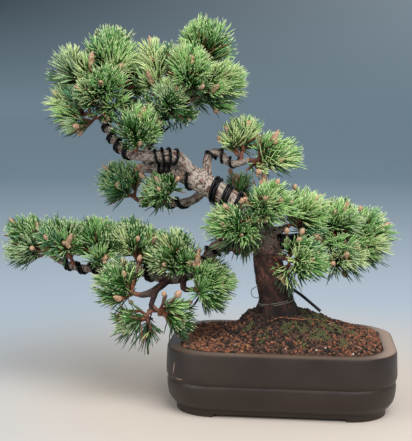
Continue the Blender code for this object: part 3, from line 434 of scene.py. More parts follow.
class BarkSettings(bpy.types.PropertyGroup):
    """Relief and colours of the bark."""

    relief: length_setting("Relief", "Depth of the cracks on the trunk", 1.5, 0.0, 4.0)
    plate: length_setting("Plate", "Width of a bark plate on the trunk", 7.5, 2.0, 20.0)
    # painted shade and light in part: old plates are drawn this dark for the shade under the
    # foliage, and pale plates this pale where light falls, as well as for their age
    old: colour_setting("Old bark", "Plates on the lower trunk", "#2d1d16")
    pale: colour_setting("Pale bark", "Grey plates on the upper trunk and boughs", "#b3a497")
    red: colour_setting("Red bark", "Flaked places", "#835140")
    crack: colour_setting("Cracks", "The floor of the cracks", "#2a1a15")
    # painted shade in part: the foot is darkened for the shade it stands in as well as for the damp
    damp_and_shade: colour_setting("Stain", "Bark that the wet soil keeps damp, at the foot", "#140f0c")


class WireSettings(bpy.types.PropertyGroup):
    """Finish of the training wire."""

    metal: colour_setting("Wire", "Anodised coat of the wire", "#1b1b1d")
    tie: colour_setting("Tie", "Coat of the thin tie round the trunk's foot", "#8d8a7e")


class NeedleSettings(bpy.types.PropertyGroup):
    """Sizes and colours of the needles, twigs and buds."""

    length: length_setting("Length", "Length of a full needle", 37.0, 5.0, 80.0)
    width: length_setting("Width", "Width of a needle at its foot", 1.8, 0.2, 4.0)
    pairs: bpy.props.IntProperty(name="Pairs", description="Pairs of needles on a main shoot",
                                 default=72, min=4, max=200)
    deep: colour_setting("Deep green", "Shaded old tufts", "#436d33")
    mid: colour_setting("Mid green", "Most tufts", "#7eac62")
    bright: colour_setting("Bright green", "Young tufts", "#a9cf80")
    yellow: colour_setting("Yellow green", "Sunlit tufts", "#ccdb99")
    blue: colour_setting("Blue green", "Cool tufts", "#5f9166")
    shade: colour_setting("Shaded green", "Needles that point down", "#3d5a36")
    grey: colour_setting("Grey green", "Dusty tufts", "#a3b98c")
    tip: colour_setting("Tips", "Pale needle tips", "#cbd6a0")
    old: colour_setting("Old needles", "Last year's dry needles", "#8c4a2a")
    bud: colour_setting("Buds", "Resinous winter buds", "#d9b092")
    candle: colour_setting("Candles", "Scaly young shoots", "#8b6546")
    twig: colour_setting("Twigs", "Rough older twigs", "#584034")


class StageSettings(bpy.types.PropertyGroup):
    """Floor and light."""

    floor: colour_setting("Floor", "Plain pale floor", "#c4b8ac")
    cool_floor: colour_setting("Cool floor", "The floor a step behind the pot", "#a9b4bd")
    far_floor: colour_setting("Far floor", "The floor at its far edge", "#8295a0")
    horizon: colour_setting("Horizon", "Air where it meets the floor", "#6d7f8b")
    dusk: colour_setting("Dusk", "Air a little above the floor's edge, on the left", "#3a464f")
    haze: colour_setting("Haze", "Air a little above the floor's edge, on the right", "#7b8892")
    air: colour_setting("Air", "Soft light from above", "#d3dae0")
    key: bpy.props.FloatProperty(name="Key light", description="Power of the soft box above",
                                 default=74.0, min=0.0, max=1000.0, unit="POWER")
    fill: bpy.props.FloatProperty(name="Fill light", description="Power of the soft box in front",
                                  default=18.0, min=0.0, max=1000.0, unit="POWER")


class BonsaiSettings(bpy.types.PropertyGroup):
    """Everything a user would change."""

    pot: bpy.props.PointerProperty(type=PotSettings)
    soil: bpy.props.PointerProperty(type=SoilSettings)
    bark: bpy.props.PointerProperty(type=BarkSettings)
    wire: bpy.props.PointerProperty(type=WireSettings)
    needles: bpy.props.PointerProperty(type=NeedleSettings)
    stage: bpy.props.PointerProperty(type=StageSettings)


# ---- meshes ----


def unit(v):
    """v as a vector, or rows of vectors, of length 1."""
    v = np.asarray(v, float)
    return v / np.linalg.norm(v, axis=-1, keepdims=True)


def build_mesh(name, corners, groups, materials, smooth=True):
    """A mesh object. groups is a list of (faces of one width, material index of each)."""
    mesh = bpy.data.meshes.new(name)
    corners = np.ascontiguousarray(np.asarray(corners, float) * MM, np.float32)
    mesh.vertices.add(len(corners))
    mesh.vertices.foreach_set("co", corners.ravel())
    widths = np.concatenate([np.full(len(faces), faces.shape[1]) for faces, _ in groups])
    loops = np.concatenate([faces.ravel() for faces, _ in groups]).astype(np.int32)
    mesh.loops.add(len(loops))
    mesh.loops.foreach_set("vertex_index", loops)
    mesh.polygons.add(len(widths))
    mesh.polygons.foreach_set("loop_start", np.r_[0, np.cumsum(widths)[:-1]].astype(np.int32))
    slots = np.concatenate([np.broadcast_to(index, len(faces)) for faces, index in groups])
    for material in materials:
        mesh.materials.append(material)
    mesh.polygons.foreach_set("material_index", slots.astype(np.int32))
    mesh.polygons.foreach_set("use_smooth", np.full(len(widths), smooth))
    mesh.update(calc_edges=True)
    if mesh.validate():
        raise ValueError(f"{name} had faces that Blender mended")
    made = bpy.data.objects.new(name, mesh)
    bpy.context.scene.collection.objects.link(made)
    return made


def place_piece(piece, slot, *nodes):
    """Rides a piece on the part and hides the nodes it stands for; slot is not used."""
    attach(piece, "root")
    if nodes:
        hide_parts(*nodes)


def spindles(paths, radii, sides):
    """Corners and faces of many closed tubes, each drawn in to a point at its last station."""
    paths, radii = np.asarray(paths, float), np.asarray(radii, float)
    count, stations, _ = paths.shape
    along = unit(np.gradient(paths, axis=1))
    chord = paths[:, -1] - paths[:, 0]
    across = np.eye(3)[np.abs(chord).argmin(axis=1)][:, None]
    n = unit(np.cross(along, across))
    b = np.cross(along, n)
    angle = 2 * np.pi * np.arange(sides) / sides
    round_it = (np.cos(angle)[:, None] * n[:, :-1, None] + np.sin(angle)[:, None] * b[:, :-1, None])
    rings = paths[:, :-1, None] + radii[:, :-1, None, None] * round_it
    block = (stations - 1) * sides + 1
    corners = np.concatenate([rings.reshape(count, -1, 3), paths[:, -1:]], axis=1).reshape(-1, 3)
    first = (np.arange(count) * block)[:, None]
    k = np.arange(sides)
    after = (k + 1) % sides
    quads = []
    for j in range(stations - 2):
        low = j * sides
        quads.append(np.stack([low + k, low + after, low + sides + after, low + sides + k], 1))
    quads = np.concatenate(quads) if quads else np.zeros((0, 4), int)
    top = (stations - 2) * sides
    tips = np.stack([top + k, top + after, np.full(sides, block - 1)], 1)
    return corners, {
        "foot": first + k[::-1],
        "wall": (first[..., None] + quads).reshape(-1, 4),
        "tip": (first[..., None] + tips).reshape(-1, 3),
    }


def skin(rings):
    """Corners and face groups of a closed tube through rings of equal count."""
    count, n = len(rings), len(rings[0])
    k = np.arange(n)
    after = (k + 1) % n
    walls = [np.stack([j * n + k, j * n + after, (j + 1) * n + after, (j + 1) * n + k], 1)
             for j in range(count - 1)]
    caps = np.array([k[::-1], (count - 1) * n + k])
    return np.concatenate(rings), [(np.concatenate(walls), 0), (caps, 0)]


def smooth_line(stations, count):
    """count points, evenly spaced by length, on a Catmull-Rom curve through stations."""
    s = np.asarray(stations, float)
    s = np.vstack([2 * s[0] - s[1], s, 2 * s[-1] - s[-2]])
    dense = []
    for a, b, c, d in zip(s[:-3], s[1:-2], s[2:-1], s[3:]):
        for t in np.linspace(0, 1, LINE_STEPS, endpoint=False):
            dense.append(0.5 * (2 * b + (c - a) * t + (2 * a - 5 * b + 4 * c - d) * t ** 2
                                + (3 * b - a - 3 * c + d) * t ** 3))
    dense = np.array(dense + [s[-2]])
    length = np.r_[0, np.cumsum(np.linalg.norm(np.diff(dense[:, :3], axis=0), axis=1))]
    at = np.linspace(0, length[-1], count)
    return np.stack([np.interp(at, length, column) for column in dense.T], 1), length[-1]


def frames(points):
    """Tangent, normal and binormal at each point of a line, with as little twist as possible."""
    tangents = unit(np.gradient(points, axis=0))
    side = np.cross(tangents[0], (0.0, 1.0, 0.0))
    if np.linalg.norm(side) < STEEPEST:
        side = np.cross(tangents[0], (1.0, 0.0, 0.0))
    normals = [unit(side)]
    for t in tangents[1:]:
        n = normals[-1] - t * np.dot(normals[-1], t)
        normals.append(unit(n))
    normals = np.array(normals)
    return tangents, normals, np.cross(tangents, normals)


def tube(points, radii, sides):
    """Corners and face groups of one round closed tube along a line."""
    points = np.asarray(points, float)
    _, n, b = frames(points)
    angle = 2 * np.pi * np.arange(sides) / sides
    round_it = np.cos(angle)[:, None] * n[:, None] + np.sin(angle)[:, None] * b[:, None]
    return skin(list(points[:, None] + np.asarray(radii, float)[:, None, None] * round_it))


def joined(parts):
    """Several (corners, groups) as one."""
    corners, groups, start = [], [], 0
    for points, faces in parts:
        corners.append(points)
        groups += [(face + start, index) for face, index in faces]
        start += len(points)
    return np.concatenate(corners), groups


# ---- limbs, wire and twigs ----


class Limb:
    """A tapering limb: rings along a smooth line, with a frame and a radius at each."""

    def __init__(self, stations, ring_step):
        length = smooth_line(stations, 3)[1]
        self.count = max(3, round(length / ring_step) + 1)
        line, self.length = smooth_line(stations, self.count)
        self.points, self.radii = line[:, :3], line[:, 3]
        self.tangents, self.normals, self.binormals = frames(self.points)
        self.stations = stations

    def at(self, share):
        """Point, tangent, normal, binormal and radius at a share of the length."""
        ring = share * (self.count - 1)
        k = np.arange(self.count)
        vectors = (self.points, self.tangents, self.normals, self.binormals)
        found = [np.array([np.interp(ring, k, column) for column in rows.T]) for rows in vectors]
        return found + [np.interp(ring, k, self.radii)]

    def round_at(self, share, angle, reach):
        """The place at a distance from the limb's line, in the direction of angle round it."""
        p, _, n, b, _ = self.at(share)
        return p + reach * (math.cos(angle) * n + math.sin(angle) * b)


def flare(height, angle):
    """How far the foot of the trunk swells into root lobes."""
    share = max(0.0, 1.0 - (height - GROUND) / FLARE_HEIGHT)
    return FLARE_SIZE * share ** 1.5 * (1.0 + math.cos(FLARE_LOBES * angle + FLARE_TURN))


def wire_line(limbs, name):
    """The middle of a wire: a helix just off its limb's bark."""
    limb, start, end, turns, radius = WIRES[name]
    line = []
    for k in range(round(turns * WIRE_STEPS_A_TURN) + 1):
        angle = 2 * math.pi * k / WIRE_STEPS_A_TURN
        share = start + (end - start) * angle / (2 * math.pi * turns)
        clear = limbs[limb].at(share)[4] + radius + GAP + WIRE_LIFT
        clear /= math.cos(math.pi / WIRE_STEPS_A_TURN)
        line.append(limbs[limb].round_at(share, angle, clear))
    return np.array(line)


def apart(line, other):
    """The least distance between the points of one line and the stretches of another."""
    a, b = other[:-1], other[1:]
    along = b - a
    share = np.einsum("ijk,jk->ij", line[:, None] - a, along) / np.einsum("jk,jk->j", along, along)
    nearest = a + along * np.clip(share, 0, 1)[..., None]
    return np.linalg.norm(line[:, None] - nearest, axis=2).min()


def between_turns(limbs, host, where, target, radius):
    """The share of the host nearest to where, from which a straight stem to target misses wire."""
    coils = [(wire_line(limbs, name), wire[4]) for name, wire in WIRES.items() if wire[0] in limbs]
    shares = np.linspace(0, 1, SEAT_SAMPLES)[:, None]
    for step in range(SEAT_TRIES):
        for share in (where - SEAT_STEP * step, where + SEAT_STEP * step):
            share = min(max(share, 0.0), 1.0)
            start = limbs[host].at(share)[0]
            line = start + (np.asarray(target, float) - start) * shares
            if all(apart(line, coil) > radius + thick + WIRE_CLEARANCE for coil, thick in coils):
                return share
    raise ValueError(f"no way past the wire from {host} at {where}")


def grow_limbs():
    """Every limb as a Limb, each bough starting on its host's own line."""
    limbs = {"trunk": Limb(TRUNK, TRUNK_RING_STEP)}
    for name, (host, where, radius, stations) in BOUGHS.items():
        where = between_turns(limbs, host, where, stations[0][:3], radius)
        start = limbs[host].at(where)[0]
        limbs[name] = Limb(((*start, radius), *stations), RING_STEP)
    return limbs


def inside_lip(x, y):
    """How far places are inside the lip's inner edge, and at most that edge's corner radius."""
    past_x = np.maximum(0.0, np.abs(x) - (POT_WIDTH / 2 - POT_CORNER))
    past_y = np.maximum(0.0, np.abs(y) - (POT_DEPTH / 2 - POT_CORNER))
    return POT_CORNER - LIP_WIDTH - np.hypot(past_x, past_y)


def mound(x, y):
    """Height of the soil at a place, or at many, inside the pot."""
    away = np.hypot(x - TRUNK[0][0], y - TRUNK[0][1])
    past = np.maximum(0.0, away - MOUND_FLAT)
    fall = MOUND_FALL + MOUND_LEAN * (x - TRUNK[0][0]) / np.maximum(away, 1.0)
    margin = np.clip(inside_lip(x, y) / MOUND_MARGIN, 0.0, 1.0)
    rise = np.exp(-(past / fall) ** MOUND_CURVE) * margin * (2.0 - margin)
    wave = np.sin(x * LUMP_WAVES[0] + 1.0) * np.cos(y * LUMP_WAVES[1])
    lump = LUMP_HEIGHT * wave * np.minimum(1.0, past / LUMP_MARGIN) * margin
    edge = SOIL_EDGE + SOIL_RISE
    return edge + (GROUND - GAP - edge) * rise + lump


def stem_of(name, limbs):
    """Root and heart of a mass's stem, and the length of it that stands clear of the limb."""
    host, where, centre, reach, _ = MASSES[name]
    centre = np.array(centre, float)
    where = between_turns(limbs, host, min(where, STEM_END), centre, STEM_RADIUS)
    root, _, _, _, bark = limbs[host].at(where)
    heart = centre - unit(centre - root) * reach * HEART
    return root, heart, max(0.0, np.linalg.norm(heart - root) - bark - SHOOT_RADIUS)


class Space:
    """The room that each mass keeps to, and everything that its twigs and needles have to miss."""

    def __init__(self, limbs, stems):
        self.blocks, self.owners = [], []
        for name, limb in limbs.items():
            for share in np.linspace(0, 1, round(limb.length / SAMPLE_STEP) + 2):
                point, _, _, _, radius = limb.at(share)
                self.add(point, radius, name)
        for name, (_, _, _, _, radius) in WIRES.items():
            coil = wire_line(limbs, name)
            for start, end in zip(coil[:-1], coil[1:]):
                self.add_line(start, end, radius, name)
        self.wood = np.array(self.blocks, float)
        for name, (root, heart, _) in stems.items():
            self.add_line(root, heart, STEM_RADIUS, name)
        self.settle()
        self.centres = np.array([mass[2] for mass in MASSES.values()], float)
        self.reaches = np.array([mass[3] for mass in MASSES.values()], float)
        self.index = {name: k for k, name in enumerate(MASSES)}

    def add(self, point, radius, owner):
        self.blocks.append((*point, radius))
        self.owners.append(owner)

    def add_line(self, start, end, radius, owner):
        steps = round(np.linalg.norm(end - start) / KEEP_STEP)
        for t in np.linspace(0, 1, max(2, steps + 1)):
            self.add(start + (end - start) * t, radius, owner)

    def settle(self):
        self.array = np.array(self.blocks, float)

    def inside(self, name, points, overhang=0.0, stretch=OUTSIDE_REACH):
        """Which points are in the mass's own room: its ball, cut by planes to its neighbours."""
        points = np.atleast_2d(points)
        power = ((points[:, None] - self.centres) ** 2).sum(axis=2) - self.reaches ** 2
        k = self.index[name]
        own = power[:, k]
        between = np.linalg.norm(self.centres - self.centres[k], axis=1)
        beyond = power - own[:, None] < 2 * between * (NEIGHBOUR_MARGIN - overhang)
        beyond[:, k] = False
        return (own <= (stretch ** 2 - 1) * self.reaches[k] ** 2) & ~beyond.any(axis=1)

    def over_pot(self, points):
        """Which points are clear of the pot and the soil."""
        x, y, z = np.atleast_2d(points).T
        beside = np.abs(x) > POT_WIDTH / 2 + POT_MARGIN
        beside |= np.abs(y) > POT_DEPTH / 2 + POT_MARGIN
        return beside | (z > np.maximum(POT_HEIGHT, mound(x, y)) + POT_MARGIN)

    def room_for_shoot(self, name, foot, tip, clearance=CORE_CLEARANCE, overhang=0.0):
        """Whether a shoot stays in its room, clear of everything but its own stem and twigs."""
        line = foot + (tip - foot) * np.linspace(0, 1, SHOOT_SAMPLES)[:, None]
        if not (self.inside(name, line, overhang).all() and self.over_pot(line).all()):
            return False
        foreign = np.array([owner != name for owner in self.owners])
        gap = np.linalg.norm(self.array[foreign, :3] - line[:, None], axis=2)
        return bool((gap > self.array[foreign, 3] + SHOOT_RADIUS + clearance).all())

    def clear_of_wood(self, points, radius, middle):
        """Which points, all within a needle's length of middle, stay off every limb and wire."""
        near = np.linalg.norm(self.wood[:, :3] - middle, axis=1) < NEAR
        wood = self.wood[near]
        gap = np.linalg.norm(wood[:, :3] - points[:, None], axis=2)
        return (gap > wood[:, 3] + radius).all(axis=1)


def twigs_of(name, stem, space):
    """A mass's twigs as (start, foot, direction), turning down the stem by a seeded rule."""
    root, heart, room = stem
    _, _, _, reach, count = MASSES[name]
    rule = random.Random(name)
    leader = unit(heart - root)
    across = unit(np.cross(leader, TWIG_SIDE))
    up = np.cross(across, leader)
    turn = rule.uniform(0, 360)
    twigs = []
    for k in range(count):
        share = k / max(1, count - 1)
        spread = TWIG_SPREAD[0] + (TWIG_SPREAD[1] - TWIG_SPREAD[0]) * share
        lean = 0.0
        if k > 0 or count <= 2:
            lean = math.radians(spread + rule.uniform(-TWIG_JITTER, TWIG_JITTER))
        start = heart - leader * min(room, reach * STEM_PITCH * k)
        length = reach * TWIG_LENGTH * (STRAIGHT_TWIG if lean == 0 else 1.0)
        for attempt in range(TWIG_TRIES):
            spin = math.radians(turn)
            turn += GOLDEN_ANGLE
            side = math.cos(spin) * across + math.sin(spin) * up
            away = unit(math.cos(lean) * leader + math.sin(lean) * side + (0, 0, UPWARD))
            foot = start + away * length * (1.0 - TWIG_SHORTENING * attempt)
            if space.room_for_shoot(name, foot, foot + away * SHOOT_LENGTH):
                space.add_line(start, foot, TWIG_RADIUS, name)
                space.add_line(foot, foot + away * SHOOT_LENGTH, SHOOT_RADIUS, (name, len(twigs)))
                space.settle()
                twigs.append((start, foot, away))
                break
    return twigs


def side_shoots(name, twigs, space):
    """Finer twigs that leave each twig below its shoot, as (start, foot, direction)."""
    rule = random.Random(name + " side shoots")
    found = []
    for start, foot, away in twigs:
        across = unit(np.cross(away, SIDE_ACROSS))
        up = np.cross(across, away)
        turn = rule.uniform(0, 2 * math.pi)
        for _ in range(SIDE_SHOOTS):
            root = start + (foot - start) * rule.uniform(*SIDE_ROOT)
            for _ in range(SIDE_TRIES):
                turn += math.radians(GOLDEN_ANGLE)
                lean = math.radians(rule.uniform(*SIDE_SPREAD))
                side = math.cos(turn) * across + math.sin(turn) * up
                aim = unit(math.cos(lean) * away + math.sin(lean) * side + (0, 0, SIDE_UPWARD))
                end = root + aim * rule.uniform(*SIDE_LENGTH)
                tip = end + aim * SHOOT_LENGTH * SIDE_ROOM
                if space.room_for_shoot(name, end, tip, SIDE_CLEARANCE - SHOOT_RADIUS,
                                        SIDE_OVERHANG):
                    space.add_line(end, end + aim * SHOOT_LENGTH, SHOOT_RADIUS, name + " side")
                    space.settle()
                    found.append((root, end, aim))
                    break
    return found


class Tuft:
    """One brush of needles on a shoot."""

    def __init__(self, name, start, foot, away, share, rule):
        self.name, self.start, self.foot, self.away = name, start, foot, away
        self.share = share
        self.length = SHOOT_LENGTH * rule.uniform(*SHOOT_STRETCH) * self.sized(SHOOT_BY_SHARE)
        lit = (foot[0] - LIT_X[0]) / (LIT_X[1] - LIT_X[0])
        lit += max(0.0, (foot[2] - LIT_Z[0]) / (LIT_Z[1] - LIT_Z[0]))
        lit = min(1.0, max(0.0, lit))
        shares = np.array(SHADY_SHARES) * (1 - lit) + np.array(LIT_SHARES) * lit
        self.green = rule.choices(range(len(GREENS)), shares)[0]
        self.open = rule.uniform(*TUFT_OPEN)
        self.reach = rule.uniform(*TUFT_REACH)
        sway = [rule.gauss(0, size) for size in (TUFT_SWAY, TUFT_SWAY, TUFT_SWAY_UP)]
        self.bend = unit(sway + np.array((0, 0, TUFT_RISE)))
        self.seed = rule.randrange(1 << 30)

    def sized(self, parts):
        """A factor of one fixed part, and one that grows with the tuft's share."""
        return parts[0] + parts[1] * self.share

    def axis(self, t):
        """Places along the shoot, which bends up a little as it grows."""
        t = np.atleast_1d(t)[:, None]
        rise = self.bend * self.length * SHOOT_BEND * t ** 2
        return self.foot + self.away * self.length * t + rise

    def heading(self, t):
        """Directions of the shoot at those places."""
        t = np.atleast_1d(t)[:, None]
        return unit(self.away + self.bend * 2 * SHOOT_BEND * t)


@functools.lru_cache(maxsize=1)
def grown_tree():
    """The limbs, the stems, the room left round them and every tuft."""
    limbs = grow_limbs()
    stems = {name: stem_of(name, limbs) for name in MASSES}
    space = Space(limbs, stems)
    twigs = {name: twigs_of(name, stems[name], space) for name in MASSES}
    tufts = []
    for name in MASSES:
        rule = random.Random(name + " tufts")
        for start, foot, away in twigs[name]:
            tufts.append(Tuft(name, start, foot, away, 1.0, rule))
        for start, foot, away in side_shoots(name, twigs[name], space):
            tufts.append(Tuft(name, start, foot, away, rule.uniform(*SIDE_SHARE), rule))
    return limbs, stems, space, tufts


def needle_starts(tuft, pairs, draw):
    """Of a tuft's needles: foot, aim, the shoot's heading, how far along it, and longer side."""
    k = np.arange(pairs)
    along = np.repeat((k + 0.5) / pairs, 2)
    turn = np.radians(k * GOLDEN_ANGLE) + draw.normal(0, TURN_JITTER, pairs)
    bunches = draw.integers(*NEEDLE_BUNCHES)
    turn += NEEDLE_BUNCHING / bunches * np.sin(bunches * turn + draw.uniform(0, 2 * math.pi))
    turn = np.stack([turn - PAIR_SPLIT, turn + PAIR_SPLIT], 1).ravel()
    long_side, wide_side = np.cos(turn[:, None] - draw.uniform(0, 2 * math.pi, 2)).T
    spread = NEEDLE_SPREAD[0] + (NEEDLE_SPREAD[1] - NEEDLE_SPREAD[0]) * along ** SPREAD_CURVE
    pair_spread = np.repeat(draw.normal(0, PAIR_JITTER, pairs), 2)
    spread = spread * tuft.open * (1 + NEEDLE_LOPSIDED[1] * wide_side) + pair_spread
    spread = np.maximum(spread + draw.normal(0, NEEDLE_JITTER, 2 * pairs), LEAST_SPREAD)
    spread = np.radians(spread)
    heading = tuft.heading(along)
    across = unit(np.cross(heading, SHOOT_SIDE))
    up = np.cross(heading, across)
    side = np.cos(turn)[:, None] * across + np.sin(turn)[:, None] * up
    aim = np.cos(spread)[:, None] * heading + np.sin(spread)[:, None] * side
    return tuft.axis(along) + side * NEEDLE_FOOT, aim, heading, along, long_side


def needle_paths(tuft, settings, space):
    """Needles of a tuft as (paths, how far along the shoot each one grows)."""
    draw = np.random.default_rng(tuft.seed)
    pairs = max(LEAST_PAIRS, round(settings.pairs * tuft.share))
    count = 2 * pairs
    foot, aim, heading, along, long_side = needle_starts(tuft, pairs, draw)
    length = settings.length / MM * tuft.sized(NEEDLE_BY_SHARE) * tuft.reach
    length = length * np.repeat(draw.uniform(*PAIR_VARIETY, pairs), 2)
    length = length * draw.uniform(*NEEDLE_VARIETY, count)
    length = length * (1 + NEEDLE_LOPSIDED[0] * long_side)
    chance = 1.0 - UNDERSIDE[1] * np.maximum(0.0, -aim[:, 2] - UNDERSIDE[0])
    wanted = draw.random(count) < chance
    stretch = np.repeat(draw.uniform(*NEEDLE_STRETCH, pairs), 2)
    keep = np.zeros(count, bool)
    for part in NEEDLE_CUTS:
        tip = foot + aim * (length * part)[:, None]
        middle = foot + aim * (length * part * NEEDLE_MIDDLE)[:, None]
        fits = space.inside(tuft.name, tip, NEEDLE_OVERHANG, stretch) & space.over_pot(tip)
        for points in (tip, middle):
            fits &= space.clear_of_wood(points, NEEDLE_CLEARANCE, tuft.foot)
        length[fits & ~keep] *= part
        keep |= fits
    keep &= wanted
    foot, aim, length, along, heading = [v[keep] for v in (foot, aim, length, along, heading)]
    bend = (heading - aim * (aim * heading).sum(axis=1)[:, None]) * NEEDLE_FORWARD
    bend = bend + draw.normal(0, NEEDLE_WAVE, foot.shape) - (0.0, 0.0, NEEDLE_SAG)
    t = np.array(NEEDLE_STATIONS)[None, :, None]
    paths = foot[:, None] + length[:, None, None] * (aim[:, None] * t + bend[:, None] * t * t)
    return paths, along


# ---- materials ----


def feed(tree, node, inputs):
    """Sets inputs of a node to values, or links them to what other nodes give."""
    for key, value in inputs.items():
        if isinstance(value, bpy.types.NodeSocket):
            tree.links.new(value, node.inputs[key])
        else:
            node.inputs[key].default_value = value


def add_node(tree, kind, inputs=None, stops=None, **settings):
    """Adds a shader node, with its settings, its inputs and a ramp's stops."""
    made = tree.nodes.new("ShaderNode" + kind)
    for key, value in settings.items():
        setattr(made, key, value)
    feed(tree, made, inputs or {})
    for k, (position, colour) in enumerate(stops or ()):
        ramp = made.color_ramp.elements
        stop = ramp[k] if k < 2 else ramp.new(position)
        stop.position = position
        stop.color = (*colour, 1.0)
    return made


def new_material(name, roughness, colour=None, metallic=0.0, ior=None):
    """A material with one Principled shader: (material, node tree, shader)."""
    made = bpy.data.materials.new(name)
    made.use_nodes = True
    tree = made.node_tree
    shader = tree.nodes["Principled BSDF"]
    feed(tree, shader, {"Roughness": roughness, "Metallic": metallic})
    if colour is not None:
        feed(tree, shader, {"Base Color": (*colour, 1.0)})
    if ior is not None:
        feed(tree, shader, {"IOR": ior})
    return made, tree, shader


def per_metre(size):
    """The texture scale whose pattern repeats about every size millimetres."""
    return 1.0 / (size * MM)


def stoneware(settings):
    """Unglazed stoneware, pressed in a mould and wiped: brown, satin, with fine fired grit."""
    made, tree, shader = new_material("unglazed_stoneware_pressed", 0.44)
    place = add_node(tree, "TexCoord").outputs["Object"]
    cloud = add_node(tree, "TexNoise", {
        "Vector": place, "Scale": per_metre(55), "Detail": 5.0, "Roughness": 0.6})
    tint = add_node(tree, "ValToRGB", {"Fac": cloud.outputs["Fac"]},
                    stops=((0.34, settings.clay), (0.72, settings.pale_clay)))
    # real grit is about 0.2 mm, which is too fine to show, so the grains are drawn coarser
    grit = add_node(tree, "TexNoise", {
        "Vector": place, "Detail": 3.0, "Scale": per_metre(settings.grit / MM)})
    speck = add_node(tree, "ValToRGB", {"Fac": grit.outputs["Fac"]},
                     stops=((0.30, GRIT_DARK), (0.52, PLAIN)))
    colour = add_node(tree, "Mix", {
        FACTOR: 0.5, COLOUR_A: tint.outputs["Color"], COLOUR_B: speck.outputs["Color"]},
        data_type="RGBA", blend_type="MULTIPLY")
    rough = add_node(tree, "MapRange", {
        "Value": cloud.outputs["Fac"], "From Min": 0.3, "From Max": 0.7, "To Min": 0.36,
        "To Max": 0.54})
    bump = add_node(tree, "Bump", {
        "Height": grit.outputs["Fac"], "Strength": 0.25, "Distance": 0.3 * MM})
    sides = add_node(tree, "SeparateXYZ", {"Vector": place}).outputs
    near_top = add_node(tree, "MapRange", {
        "Value": sides["Z"], "From Min": (POT_HEIGHT - LIP_HIGHLIGHT_DROP) * MM, "From Max": POT_HEIGHT * MM})
    across = add_node(tree, "MapRange", {
        "Value": sides["X"], "From Min": -POT_WIDTH / 2 * MM, "From Max": POT_WIDTH / 2 * MM})
    highlight_along = add_node(tree, "FloatCurve", {"Value": across.outputs["Result"]})
    for position, share in LIP_HIGHLIGHTS:
        highlight_along.mapping.curves[0].points.new(position, share)
    # painted highlight: the lip's top turns paler where the light catches it, strongest just right
    # of the middle
    rubbed = add_node(tree, "Math", {0: near_top.outputs["Result"], 1: highlight_along.outputs["Value"]},
                      operation="MULTIPLY")
    lip_highlighted = add_node(tree, "Mix", {
        FACTOR: rubbed.outputs[0], COLOUR_A: colour.outputs[MIXED],
        COLOUR_B: (*settings.lip, 1.0)}, data_type="RGBA")
    feed(tree, shader, {"Base Color": lip_highlighted.outputs[MIXED], "Roughness": rough.outputs["Result"],
                        "Normal": bump.outputs["Normal"]})
    return made


def soil_bed(settings):
    """Fired clay dust between the granules: damp, dark and matte."""
    made, tree, shader = new_material("akadama_dust_damp", 0.95)
    place = add_node(tree, "TexCoord").outputs["Object"]
    cloud = add_node(tree, "TexNoise", {"Vector": place, "Scale": per_metre(6), "Detail": 4.0})
    tint = add_node(tree, "ValToRGB", {"Fac": cloud.outputs["Fac"]},
                    stops=((0.35, settings.dark), (0.65, settings.brown)))
    bump = add_node(tree, "Bump", {
        "Height": cloud.outputs["Fac"], "Strength": 0.7, "Distance": 0.8 * MM})
    feed(tree, shader, {"Base Color": tint.outputs["Color"], "Normal": bump.outputs["Normal"]})
    return made


def pine_bark(settings):
    """Pine bark, grown in scales: the relief mesh carries each scale's shade and its cracks."""
    made, tree, shader = new_material("pine_bark_scaly", 0.85)
    place = add_node(tree, "TexCoord").outputs["Object"]
    height, shade, age_and_shade = [
        add_node(tree, "Attribute", attribute_name=name).outputs["Fac"] for name in BARK_NOTES]
    fleck = add_node(tree, "TexNoise", {
        "Vector": place, "Scale": per_metre(2.2), "Detail": 4.0, "Roughness": 0.65})
    young = add_node(tree, "ValToRGB", {"Fac": shade},
                     stops=((0.12, settings.red), (0.42, settings.pale)))
    old = add_node(tree, "ValToRGB", {"Fac": shade},
                   stops=((0.3, settings.old), (1.0, settings.red)))
    # plates darken towards the trunk's foot: older bark, and painted shade below the foliage
    plate = add_node(tree, "Mix", {
        FACTOR: age_and_shade, COLOUR_A: young.outputs["Color"], COLOUR_B: old.outputs["Color"]},
        data_type="RGBA")
    mottle = add_node(tree, "ValToRGB", {"Fac": fleck.outputs["Fac"]},
                      stops=((0.32, MOTTLE_DARK), (0.62, PLAIN)))
    mottled = add_node(tree, "Mix", {
        FACTOR: 0.8, COLOUR_A: plate.outputs[MIXED], COLOUR_B: mottle.outputs["Color"]},
        data_type="RGBA", blend_type="MULTIPLY")
    open_crack = add_node(tree, "MapRange", {"Value": height, "From Min": 0.1, "From Max": 0.55})
    colour = add_node(tree, "Mix", {
        FACTOR: open_crack.outputs["Result"], COLOUR_A: (*settings.crack, 1.0),
        COLOUR_B: mottled.outputs[MIXED]}, data_type="RGBA")
    above = add_node(tree, "SeparateXYZ", {"Vector": place}).outputs["Z"]
    # the foot darkens towards the soil: damp, and painted shade
    damp_and_shade = add_node(tree, "MapRange", {
        "Value": above, "From Min": FOOT_DAMP_AND_SHADE[0] * MM, "From Max": FOOT_DAMP_AND_SHADE[1] * MM,
        "To Min": FOOT_DAMP_AND_SHADE_SHARE, "To Max": 0.0})
    damp_and_shaded = add_node(tree, "Mix", {
        FACTOR: damp_and_shade.outputs["Result"], COLOUR_A: colour.outputs[MIXED],
        COLOUR_B: (*settings.damp_and_shade, 1.0)}, data_type="RGBA")
    bump = add_node(tree, "Bump", {
        "Height": fleck.outputs["Fac"], "Strength": 0.6, "Distance": 0.5 * MM})
    feed(tree, shader, {
        "Base Color": damp_and_shaded.outputs[MIXED], "Normal": bump.outputs["Normal"]})
    return made


